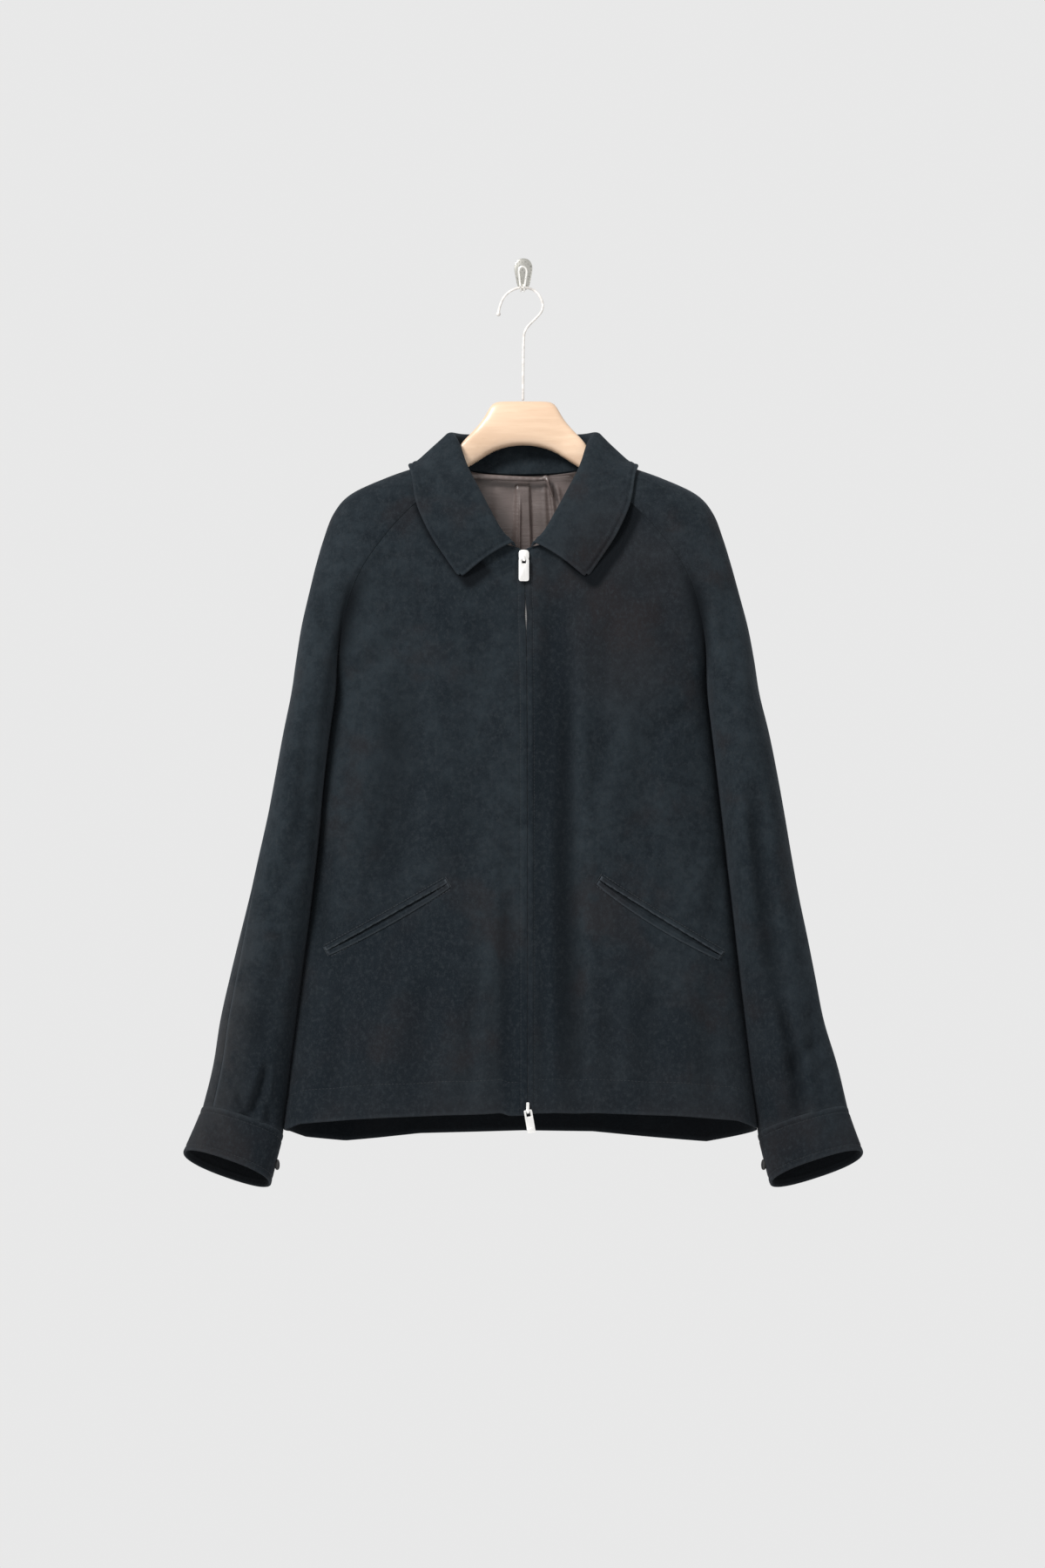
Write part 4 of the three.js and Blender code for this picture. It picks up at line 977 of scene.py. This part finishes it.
def front_place(word, x, z):
    """Place on a front that lies straight behind a point of the front view."""
    tree = front_trees[word]
    place, normal, _, _ = tree.ray_cast(Vector((x, -400, z)), Vector((0, 1, 0)))
    if normal.y > 0:
        normal = -normal
    return np.array(place), np.array(normal)


def grid_quads(grid, first=0):
    rows, columns = grid.shape[:2]
    index = np.arange(rows * columns).reshape(rows, columns) + first
    quads = np.stack([index[:-1, :-1], index[1:, :-1], index[1:, 1:], index[:-1, 1:]], 2)
    return quads.reshape(-1, 4)


def tree_of(grid):
    return BVHTree.FromPolygons(grid.reshape(-1, 3).tolist(), grid_quads(grid).tolist())


# Pockets: a slit pressed into the front, and two rolled welts along it
POCKETS = {
    "left": {"inner": (-76.6, -635), "outer": (-197.1, -702), "open": 4.2, "sag": 2},
    "right": {"inner": (76.6, -632), "outer": (198, -706), "open": 6, "sag": 3.5},
}
WELT_HEIGHT = 4.2


def pocket_line(word, t):
    """Place of the slit's middle in the front view, and the direction across it."""
    row = POCKETS[word]
    inner, outer = np.array(row["inner"]), np.array(row["outer"])
    run = unit(outer - inner)
    up = np.array([-run[1], run[0]]) * np.sign(run[0])
    bowed = -row["sag"] * 2 * t * (1 - t)
    return inner + (outer - inner) * t + up * bowed, up


def press_pockets():
    """Sinks each front a little along its slit, with a soft pull below it."""
    for word, row in POCKETS.items():
        panel = panels[f"front_{word}"]
        inner, outer = np.array(row["inner"]), np.array(row["outer"])
        line = outer - inner
        length = np.linalg.norm(line)
        _, up = pocket_line(word, 0.5)
        x = panel["grid"][:, :, 0] - inner[0]
        z = panel["grid"][:, :, 2] - inner[1]
        t = (x * line[0] + z * line[1]) / length**2
        off = x * up[0] + z * up[1]
        inside = ease((t + 0.03) / 0.08) * ease((1.03 - t) / 0.08)
        sunk = (SLIT_DEPTH * bell(off, 5.5) - PULL_RISE * bell(off + 11, 8)) * inside
        panel["grid"] = panel["grid"] - panel["normals"] * sunk[:, :, None]
        # Painted shade in the slit, lying nearer the upper welt.
        dark = bell(off - 0.2 * row["open"], 1.2 + 0.3 * row["open"]) * inside
        panel["shade"] = np.maximum(panel["shade"], dark)


press_pockets()
front_trees = {word: tree_of(panels[f"front_{word}"]["grid"]) for word in SIDES}


def build_welts():
    across = np.linspace(0, 1, 11)
    for word, row in POCKETS.items():
        for name, way in (("upper", 1), ("lower", -1)):
            found = []
            for t in np.linspace(0, 1, WELT_STATIONS):
                middle, up = pocket_line(word, t)
                gape = row["open"] * (0.25 + 0.75 * math.sin(math.pi * t) ** 0.7) / 2
                gape *= 0.45 if way > 0 else 1.55
                found.append([front_place(word, *(middle + up * way * (gape + far)))
                              for far in across * WELT_HEIGHT])
            found = np.array(found)
            height = 1.75 + 0.75 * (1 - (2 * across - 0.75) ** 2)
            ups = found[:, :, 1]
            points = found[:, :, 0] + ups * height[None, :, None]
            directions = normals_of(points, 1)
            directions *= np.sign(np.sum(directions * ups, axis=2, keepdims=True))
            node = f"pocket_{word}_welt_{name}"
            ends = (1, 0, 1, 1) if way > 0 else (0, 1, 1, 1)
            # Pale welt edges: partly rubbed nap, partly a painted highlight where the edges catch
            # light.
            wear = edge_band(points, ends, deep=0.75 if way > 0 else 0.5, half=1.1)
            piece = cloth_piece(node, "suede", points, directions, 1.5, "suede", SUEDE, SUEDE,
                                wear=wear)


PANEL_CUT = {
    "front_left": (0.27, 0.66, 0.136), "front_right": (0.27, 0.66, 0.131),
    "back": (0.52, 0.68, 0.278), "sleeve_front_left": (0.19, 0.78, 0.064),
    "sleeve_front_right": (0.19, 0.78, 0.073), "sleeve_back_left": (0.19, 0.78, 0.08),
    "sleeve_back_right": (0.19, 0.78, 0.078),
}


def build_panels():
    for name, (width, length, area) in PANEL_CUT.items():
        grid = panels[name]["grid"]
        if name.startswith("front"):
            facing = facing_cells(grid, FRONT_FACING, (1, 0, 1, 1))
        else:
            facing = facing_cells(grid, HEM_FACING, (0, 0, 1, 0))
        # The inner faces of the facings get painted shade.
        piece = cloth_piece(name, "suede", grid, panels[name]["normals"], SUEDE_WALL, "suede",
                            SUEDE, SATIN, facing=facing, inside=0.75,
                            crease=panels[name]["shade"], wear=hem_wear_and_arm_highlight(name, grid))


# Collar
def collar_section(row, side):
    foot, fold, edge = (np.array([side * row[a + "x"], row[a + "y"], row[a + "z"]]) for a in "sfe")
    radius = min(FOLD_RADIUS, np.linalg.norm(fold - foot) * 0.75)
    up = unit(fold - foot)
    off = edge - fold
    off = unit(off - up * off.dot(up))
    centre = fold - up * radius + off * radius
    ew, eu = (edge - centre).dot(off), (edge - centre).dot(up)
    last = math.atan2(eu, ew) + math.acos(radius / math.hypot(ew, eu))
    turns = np.linspace(math.pi, last, 15)
    arc = centre + np.outer(np.cos(turns), off) * radius + np.outer(np.sin(turns), up) * radius
    stand = mix(foot, arc[0], np.linspace(0, 1, 13)[:-1, None])
    leaf_places = spread(26, 55, (2,), (1.2, 2.4, 3.6, 4.8, 5.6, 6.4, 7.2, 8.4))
    leaf = mix(arc[-1], edge, leaf_places[1:, None])
    down = unit(edge - arc[-1])
    out = unit(up - down * up.dot(down))
    bow = mix(-0.5, LEAF_BOW, ease((-205 - fold[2]) / 30))
    bow = bow * np.sin(math.pi * leaf_places[1:] ** 0.8)
    leaf = leaf + out * bow[:, None]
    return np.concatenate([stand, arc, leaf])


def panel_tree(names):
    """Search tree of the outer faces of some panels, with outward normals."""
    points, faces = [], []
    for name in names:
        panel = panels[name]
        grid = panel["grid"][ARMPIT_ROW:]
        quads = grid_quads(grid, len(points))
        faces += (quads if panel["out"] > 0 else quads[:, ::-1]).tolist()
        points += grid.reshape(-1, 3).tolist()
    return BVHTree.FromPolygons(points, faces)


def rounded_corner(grid, last_row, radius):
    """Rounds the corner where the last column meets the first or last row."""
    ends = (0, 1, 0, 1) if last_row else (0, 1, 1, 0)
    by_column = edge_distance(grid, (0, 1, 0, 0))
    by_row = edge_distance(grid, (0, 0) + ends[2:])
    a, b = np.maximum(0, radius - by_column), np.maximum(0, radius - by_row)
    squash = 1 - np.maximum(a, b) / np.maximum(np.hypot(a, b), 1e-9)
    squash *= (a > 0) & (b > 0)
    across = unit(np.gradient(grid, axis=1))
    along = unit(np.gradient(grid, axis=0)) * (1 if last_row else -1)
    return grid - across * (a * squash)[:, :, None] - along * (b * squash)[:, :, None]


def softened(grid, rounds):
    """Evens out a grid along its rows of stations, so that small jumps melt away."""
    for _ in range(rounds):
        inner = (grid[:-2] + 2 * grid[1:-1] + grid[2:]) / 4
        grid = np.concatenate([grid[:1], inner, grid[-1:]])
    return grid


def shape_collar():
    stations = np.arange(len(COLLAR["sx"]), dtype=float)
    at = np.linspace(0, len(stations) - 1, COLLAR_STATIONS + 1)
    rows = {name: smooth_line(stations, COLLAR[name], at) for name in COLLAR}
    grid = []
    for k in range(-COLLAR_STATIONS, COLLAR_STATIONS + 1):
        row = {name: rows[name][abs(k)] for name in rows}
        grid.append(collar_section(row, -1 if k < 0 else 1))
    grid = softened(np.array(grid), rounds=10)
    tree = panel_tree(list(PANEL_CUT))
    least = COLLAR_WALL + LEAF_CLEAR
    push = np.zeros(grid.shape)
    for i in range(grid.shape[0]):
        for j in range(LEAF_START, grid.shape[1]):
            place, normal, _, _ = tree.find_nearest(Vector(grid[i, j]))
            off = (Vector(grid[i, j]) - place).dot(normal)
            if off < least:
                push[i, j] = np.array(normal) * (least - off)
    grid = grid + softened(push, rounds=14)
    normals = normals_of(grid, -1)
    x, z = grid[:, :, 0], grid[:, :, 2]
    stand_off = TIP_STAND_OFF * np.exp(-edge_distance(grid, (0, 1, 0, 0)) / 20)
    stand_off *= ease((-258 - z) / 70)
    stand_off += 0.9 * soft_waves(x, z, 60, 77)
    grid = grid + normals * stand_off[:, :, None]
    grid = draw_back(grid, 0, COLLAR_WALL / 2)
    grid = draw_back_ends(grid, COLLAR_WALL / 2, COLLAR_WALL / 2)
    for line in ((COLLAR_STITCH, 1.2, 0.7), (2.8, 1.8, -0.4)):
        grid = press_line(grid, normals, (0, 1, 1, 1), *line)
    for last_row in (False, True):
        grid = rounded_corner(grid, last_row, COLLAR_CORNER)
    panels["collar"] = {"grid": grid, "normals": normals_of(grid, -1)}


def shade_under_collar():
    """Painted shadow on the fronts, below and to the right of where the leaf's edge stands over
    them.
    """
    grid = panels["collar"]["grid"]
    edge = np.concatenate([grid[:, -1], grid[0, 41:], grid[-1, 41:]])
    edge = edge[edge[:, 2] < -235]
    shadow = np.array([9, 0, -10])
    marks = [point + shadow * share for share in np.linspace(0, 1, 6) for point in edge]
    tree = KDTree(len(marks))
    for k, mark in enumerate(marks):
        tree.insert((mark[0], 0, mark[2]), k)
    tree.balance()
    for word in SIDES:
        panel = panels[f"front_{word}"]
        for i, j in zip(*np.nonzero(panel["grid"][:, :, 2] > -370)):
            x, _, z = panel["grid"][i, j]
            shade = bell(tree.find((x, 0, z))[2], 4.4)
            panel["shade"][i, j] = max(panel["shade"][i, j], shade)


def build_collar():
    grid, normals = panels["collar"]["grid"], panels["collar"]["normals"]
    piece = cloth_piece("collar", "suede", grid, normals, COLLAR_WALL, "suede", SUEDE, SUEDE,
                        wear=edge_band(grid, (0, 1, 1, 1), deep=0.1))


shape_collar()
shade_under_collar()
build_panels()
build_welts()
build_collar()


# Cuffs: bands with turned ends, closed by a button at the underarm side
def build_cuff(word, side):
    turns = np.linspace(0, 2 * math.pi, CUFF_COLUMNS, endpoint=False)
    near_ends = np.array([1.2, 2.4, 3.6, 4.6, 5.4, 6.2, 7.4])
    top = CUFF_SEAM - 0.4
    depths = np.sort(np.concatenate([np.linspace(0, top - CUFF_END, 12), near_ends,
                                     top - CUFF_END - near_ends]))
    grid = np.array([sleeve_ring(side, top - depth, turns) for depth in depths])
    normals = normals_of(grid, side, ring=True)
    if np.sum(normals * (grid - grid.mean(axis=(0, 1)))) < 0:
        normals = -normals
    far = depths[:, None] * np.ones(len(turns))
    end = (depths[-1] - depths)[:, None] * np.ones(len(turns))
    lift = 0.9 - 0.5 * bell(end - 5, 1.1) - 0.5 * bell(far - 5, 1.1)
    lift = lift + 0.6 * soft_waves(turns[None, :] * 40 + 0 * far, grid[:, :, 2], 70, 90 + side)
    grid = grid + normals * lift[:, :, None]
    panels[f"cuff_{word}"] = {"grid": grid, "normals": normals}
    # The inner faces of the cuff get painted shade.
    piece = cloth_piece(f"cuff_{word}", "suede", grid, normals, SUEDE_WALL + 0.6, "suede",
                        SUEDE, SUEDE, ring=True, inside=0.8, crease=np.zeros(grid.shape[:2]),
                        wear=edge_band(grid, (0, 0, 1, 1), deep=0.15))


for word, side in SIDES.items():
    build_cuff(word, side)


# Lining of the back: a pleated satin sheet with a hanging loop. Each soft fold has its place
# across at the top and lower down, its half width and its height.
LINING_FOLDS = (
    (27, 36, 2.2, 2.6), (33, 47, 2.6, 1.8), (21, 25, 2, 1.2),
    (-24, -30, 7, 1.2), (-40, -52, 8, 1.4), (17, 19, 6, 0.9),
)


def pleat_lift(x, z):
    """Rise of the box pleat, which opens downwards, and of the soft folds beside it."""
    down = np.clip((-212 - z) / 110, 0, 1.5)
    left = ease((x + 8.5 + 2.5 * down) / 2.2)
    right = 1 - ease((x - 5 - 3 * down) / 2.2)
    rise = 3.2 * left * right * ease((-214 - z) / 10)
    rise += 1.6 * bell(x + 3 + 1.5 * down, 1.3) * ease((-222 - z) / 30)
    for x0, x1, half, height in LINING_FOLDS:
        middle = x0 + (x1 - x0) * down * 1.4
        rise += height * bell(x - middle, half) * ease((-214 - z) / 14)
    return rise


def build_lining():
    back = panels["back"]
    rows = slice(ARMPIT_ROW - 6, -2)
    columns = np.abs(back["grid"][ARMPIT_ROW, :, 0]) < 150
    grid, normals = back["grid"][rows][:, columns], back["normals"][rows][:, columns]
    x, z = grid[:, :, 0], grid[:, :, 2]
    rise = pleat_lift(x, z) + 0.5 * soft_waves(x * 1.4, z * 2.2, 60, 55)
    grid = grid - normals * (SUEDE_WALL + 0.9 + LINING_WALL + np.maximum(0, rise))[:, :, None]
    piece = cloth_piece("lining_back", "satin", grid, normals_of(grid, -1), LINING_WALL,
                        "lining", SATIN, SATIN)


LOOP = table("x y z half", [
    [-56, -31.6, -212, 2.7], [-44, -30, -212.6, 2.7], [-30, -28.9, -213.2, 2.6],
    [-14, -28.6, -214, 2.5], [0, -28.6, -214.6, 2.4], [12, -28.4, -214.9, 2.2],
    [19, -28, -214.6, 1.9], [22.5, -28.6, -214, 2.8], [24.5, -29.4, -216, 1.7],
    [25.5, -29, -220, 1.5], [27.5, -28, -226, 1.4], [30, -27.4, -233, 0.9],
])


def build_loop():
    at = np.linspace(0, len(LOOP["x"]) - 1, 90)
    stations = np.arange(len(LOOP["x"]), dtype=float)
    middle = np.stack([smooth_line(stations, LOOP[name], at) for name in "xyz"], 1)
    half = smooth_line(stations, LOOP["half"], at)
    front = np.array([0, -1, 0])
    up = unit(np.cross(np.gradient(middle, axis=0), front))
    share = np.linspace(-1, 1, 9)
    crown = 1.1 * (1 - share**2)
    grid = middle[:, None] + up[:, None] * (half[:, None] * share)[:, :, None]
    grid = grid + front * crown[None, :, None]
    grid[:, :, 1] += 0.2 * np.sin(middle[:, :1] * 0.9)
    normals = normals_of(grid, 1)
    if normals[:, :, 1].mean() > 0:
        normals = -normals
    piece = cloth_piece("hanger_loop", "satin", grid, normals, 1.0, "lining", SATIN, SATIN)


build_lining()
build_loop()


# Zip tapes behind the front edges
def build_tapes():
    for word in SIDES:
        panel = panels[f"front_{word}"]
        rows = slice(6, ARMPIT_ROW + 6 * FINE_ROWS)
        columns = edge_distance(panel["grid"], (1, 0, 0, 0))[20] < 13
        grid = panel["grid"][rows][:, columns]
        normals = panel["normals"][rows][:, columns]
        grid = grid - normals * (SUEDE_WALL + 0.9)
        panels[f"zip_tape_{word}"] = {"grid": grid, "normals": normals}
        piece = cloth_piece(f"zip_tape_{word}", "cloth", grid, normals, 0.8, "tape", TAPE, TAPE)


build_tapes()


# Small repeated pieces: stitches and zip teeth
def small_shape(add, size, rounding=0.0):
    """Mesh data of a small piece that is modelled once at the origin, in millimetres."""
    bpy.ops.object.select_all(action="DESELECT")
    add()
    bpy.ops.object.mode_set(mode="EDIT")
    bpy.ops.mesh.select_all(action="SELECT")
    bpy.ops.transform.resize(value=size)
    if rounding:
        bpy.ops.mesh.bevel(offset=rounding, segments=1, affect="EDGES")
    bpy.ops.object.mode_set(mode="OBJECT")
    piece = bpy.context.object
    points = np.array([vertex.co for vertex in piece.data.vertices])
    faces = [list(face.vertices) for face in piece.data.polygons]
    bpy.data.objects.remove(piece)
    return points, faces


def strewn(name, shape, places, material, smooth=True):
    """One mesh with a copy of a small shape at each place, given as an origin and three axes."""
    points, faces = shape
    all_points, all_faces = [], []
    for k, (origin, axes) in enumerate(places):
        all_points.append(origin + points @ np.array(axes))
        all_faces += [[i + k * len(points) for i in face] for face in faces]
    mesh = bpy.data.meshes.new(name)
    mesh.from_pydata((np.concatenate(all_points) * MM).tolist(), [], all_faces)
    mesh.polygons.foreach_set("use_smooth", np.full(len(all_faces), smooth))
    return finish_piece(linked(name, mesh), [material])


def frames_along(line, ups, at):
    """Points at some lengths along a line, each with its directions across, out and along."""
    lengths = path_lengths(line)
    middle, out = resampled(line, lengths, at), unit(resampled(ups, lengths, at))
    ahead = resampled(line, lengths, np.minimum(at + 0.5, lengths[-1]))
    run = unit(ahead - resampled(line, lengths, np.maximum(at - 0.5, 0)))
    return zip(middle, np.cross(out, run), out, run)


def stitch_places(line, ups, pitch=STITCH_PITCH, sunk=0.05):
    at = np.arange(pitch / 2, path_lengths(line)[-1], pitch)
    return [(point - out * sunk, (across, out, run))
            for point, across, out, run in frames_along(line, ups, at)]


def edge_stitches(panel, edge, far, keep=slice(None), pitch=STITCH_PITCH):
    line, ups = edge_line(panel, edge, far)
    return stitch_places(line[keep], ups[keep], pitch)


def spot_stitches(word, spots, pitch=STITCH_PITCH, lift=0.0):
    """Stitches on a front, through places given in the front view."""
    found = [front_place(word, *spot) for spot in spots]
    line = np.array([place + normal * lift for place, normal in found])
    return stitch_places(line, np.array([normal for _, normal in found]), pitch)


def build_stitches():
    """Rows of short threads, 2.6 mm long, whose ends dip into the cloth."""
    ball = functools.partial(bpy.ops.mesh.primitive_uv_sphere_add, segments=6, ring_count=5)
    shape = small_shape(ball, (0.24, 0.2, 1.3))
    collar, back = panels["collar"], panels["back"]
    places = edge_stitches(collar, "last", COLLAR_STITCH)
    for edge in ("bottom", "top"):
        places += edge_stitches(collar, edge, COLLAR_STITCH, slice(30, -6))
    strewn("collar_stitches", shape, places, THREAD)
    for word in SIDES:
        front, cuff = panels[f"front_{word}"], panels[f"cuff_{word}"]
        places = edge_stitches(front, "first", TOPSTITCH, slice(2, ARMPIT_ROW + 6 * FINE_ROWS))
        places += edge_stitches(front, "bottom", HEM_STITCH, slice(8, -2), HEM_PITCH)
        strewn(f"front_{word}_stitches", shape, places, THREAD)
        places = [place for edge in ("bottom", "top")
                  for place in edge_stitches(cuff, edge, CUFF_STITCH)]
        strewn(f"cuff_{word}_stitches", shape, places, THREAD)
    places = edge_stitches(back, "bottom", HEM_STITCH, slice(2, -2), HEM_PITCH)
    strewn("back_stitches", shape, places, THREAD)
    for word in SIDES:
        places = []
        for t in (-0.012, 1.012):
            middle, up = pocket_line(word, t)
            spots = [middle + up * k for k in np.linspace(-5.4, 5.4, 7)]
            places += spot_stitches(word, spots, pitch=2.4, lift=0.2)
        for way in (1, -1):
            lines = [pocket_line(word, t) for t in np.linspace(0, 1, 40)]
            spots = [middle + up * way * (WELT_HEIGHT + 2.6) for middle, up in lines]
            places += spot_stitches(word, spots)
        strewn(f"pocket_{word}_stitches", shape, places, PALE_THREAD)


build_stitches()


def build_teeth():
    """Metal teeth on the tapes: small blocks with rounded edges, in turn from both sides."""
    cube = functools.partial(bpy.ops.mesh.primitive_cube_add, size=1)
    shape = small_shape(cube, (2.6, 1.5, 0.85), rounding=0.18)
    for word, side in SIDES.items():
        tape = panels[f"zip_tape_{word}"]
        line, ups = tape["grid"][:, 0], tape["normals"][:, 0]
        first = TOOTH_PITCH if side > 0 else TOOTH_PITCH / 2
        places = []
        at = np.arange(first, path_lengths(line)[-1] - 1, TOOTH_PITCH)
        for point, across, out, run in frames_along(line, ups, at):
            point[0] = zip_x(point[2]) + side * TOOTH_OFF
            across = across * np.sign(across[0]) * side
            places.append((point + out * 0.3, (across, out, run)))
        strewn(f"zip_teeth_{word}", shape, places, TOOTH_METAL, smooth=False)


build_teeth()


# Hard pieces: finished copies of the frame's solids
SHARP = math.radians(35)


def finished_copy(node, name, material, body="jacket", bevel=0.0, levels=0):
    """A merged copy of a solid with its edges rounded or its form smoothed."""
    piece = linked(name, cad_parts[node].data.copy())
    piece.data.materials.clear()
    bpy.ops.object.select_all(action="DESELECT")
    piece.select_set(True)
    bpy.context.view_layer.objects.active = piece
    bpy.ops.object.mode_set(mode="EDIT")
    bpy.ops.mesh.select_all(action="SELECT")
    bpy.ops.mesh.remove_doubles(threshold=1e-5)
    if bevel:
        bpy.ops.mesh.dissolve_limited(angle_limit=math.radians(2))
    else:
        bpy.ops.mesh.tris_convert_to_quads()
    bpy.ops.object.mode_set(mode="OBJECT")
    if bevel:
        rounding = piece.modifiers.new("rounding", "BEVEL")
        rounding.width = bevel * MM
        rounding.segments = 3
        rounding.limit_method = "ANGLE"
        rounding.angle_limit = SHARP
        bpy.ops.object.modifier_apply(modifier="rounding")
    if levels:
        smoothing = piece.modifiers.new("smoothing", "SUBSURF")
        smoothing.levels = smoothing.render_levels = levels
        bpy.ops.object.modifier_apply(modifier="smoothing")
    bpy.ops.object.shade_smooth_by_angle(angle=SHARP)
    return finish_piece(piece, [material], [node], body)


finished_copy("hanger_wood", "hanger_maple", MAPLE, levels=1)
finished_copy("hanger_hook", "hanger_hook_wire", BRIGHT_WIRE, levels=1)
finished_copy("wall_hook_wire", "wall_loop_wire", WALL_WIRE, levels=1)
finished_copy("wall_plate", "wall_plate_nickel", WALL_NICKEL, bevel=0.3)
for end in ("top", "bottom"):
    finished_copy(f"zip_slider_{end}", f"slider_{end}", ZIP_METAL, bevel=0.3)
    finished_copy(f"zip_pull_{end}", f"pull_{end}_tab", ZIP_METAL, f"pull_{end}", 0.3)
for word in SIDES:
    finished_copy(f"cuff_button_{word}", f"button_{word}", HORN, bevel=0.25)


# Stage, light and camera
LIGHTS = {
    "key": {"place": (-1.9, -2.5, 1.9), "size": 1.0, "power": 205},
    "fill": {"place": (2.4, -2.2, 0.2), "size": 1.6, "power": 14},
}
LIT_PLACE = (0, 0, -0.5)
FLOOR_Z = -1.45
CAMERA_FAR = 9.0
CAMERA_TILT = math.radians(6)
FRAME_HEIGHT = 1.584
SENSOR = 36


def build_stage():
    bpy.ops.mesh.primitive_plane_add(size=14, location=(0, 0, FLOOR_Z))
    floor = bpy.context.object
    floor.name = "floor"
    material = bpy.data.materials.new("pale_floor")
    material.use_nodes = True
    floor.data.materials.append(dress(material, Base_Color=(0.8, 0.8, 0.8), Roughness=0.9))
    world = bpy.data.worlds.new("studio")
    world.use_nodes = True
    world.node_tree.nodes["Background"].inputs["Color"].default_value = (0.81, 0.81, 0.81, 1)
    bpy.context.scene.world = world
    bpy.context.scene.view_settings.view_transform = "Standard"
    for name, row in LIGHTS.items():
        light = bpy.data.lights.new(name, "AREA")
        light.size = row["size"]
        light.energy = row["power"]
        lamp = linked(name, light)
        lamp.location = row["place"]
        aim = Vector(LIT_PLACE) - Vector(row["place"])
        lamp.rotation_euler = aim.to_track_quat("-Z", "Y").to_euler()


def build_camera():
    camera = linked("camera", bpy.data.cameras.new("camera"))
    camera.data.sensor_width = SENSOR
    camera.data.lens = SENSOR * CAMERA_FAR / FRAME_HEIGHT
    away = Vector((0, -math.cos(CAMERA_TILT), -math.sin(CAMERA_TILT)))
    camera.location = Vector((-0.0009, -0.06, -0.5301)) + away * CAMERA_FAR
    camera.rotation_euler = (math.pi / 2 + CAMERA_TILT, 0, 0)
    camera.data.clip_end = 60
    bpy.context.scene.camera = camera


build_stage()
build_camera()
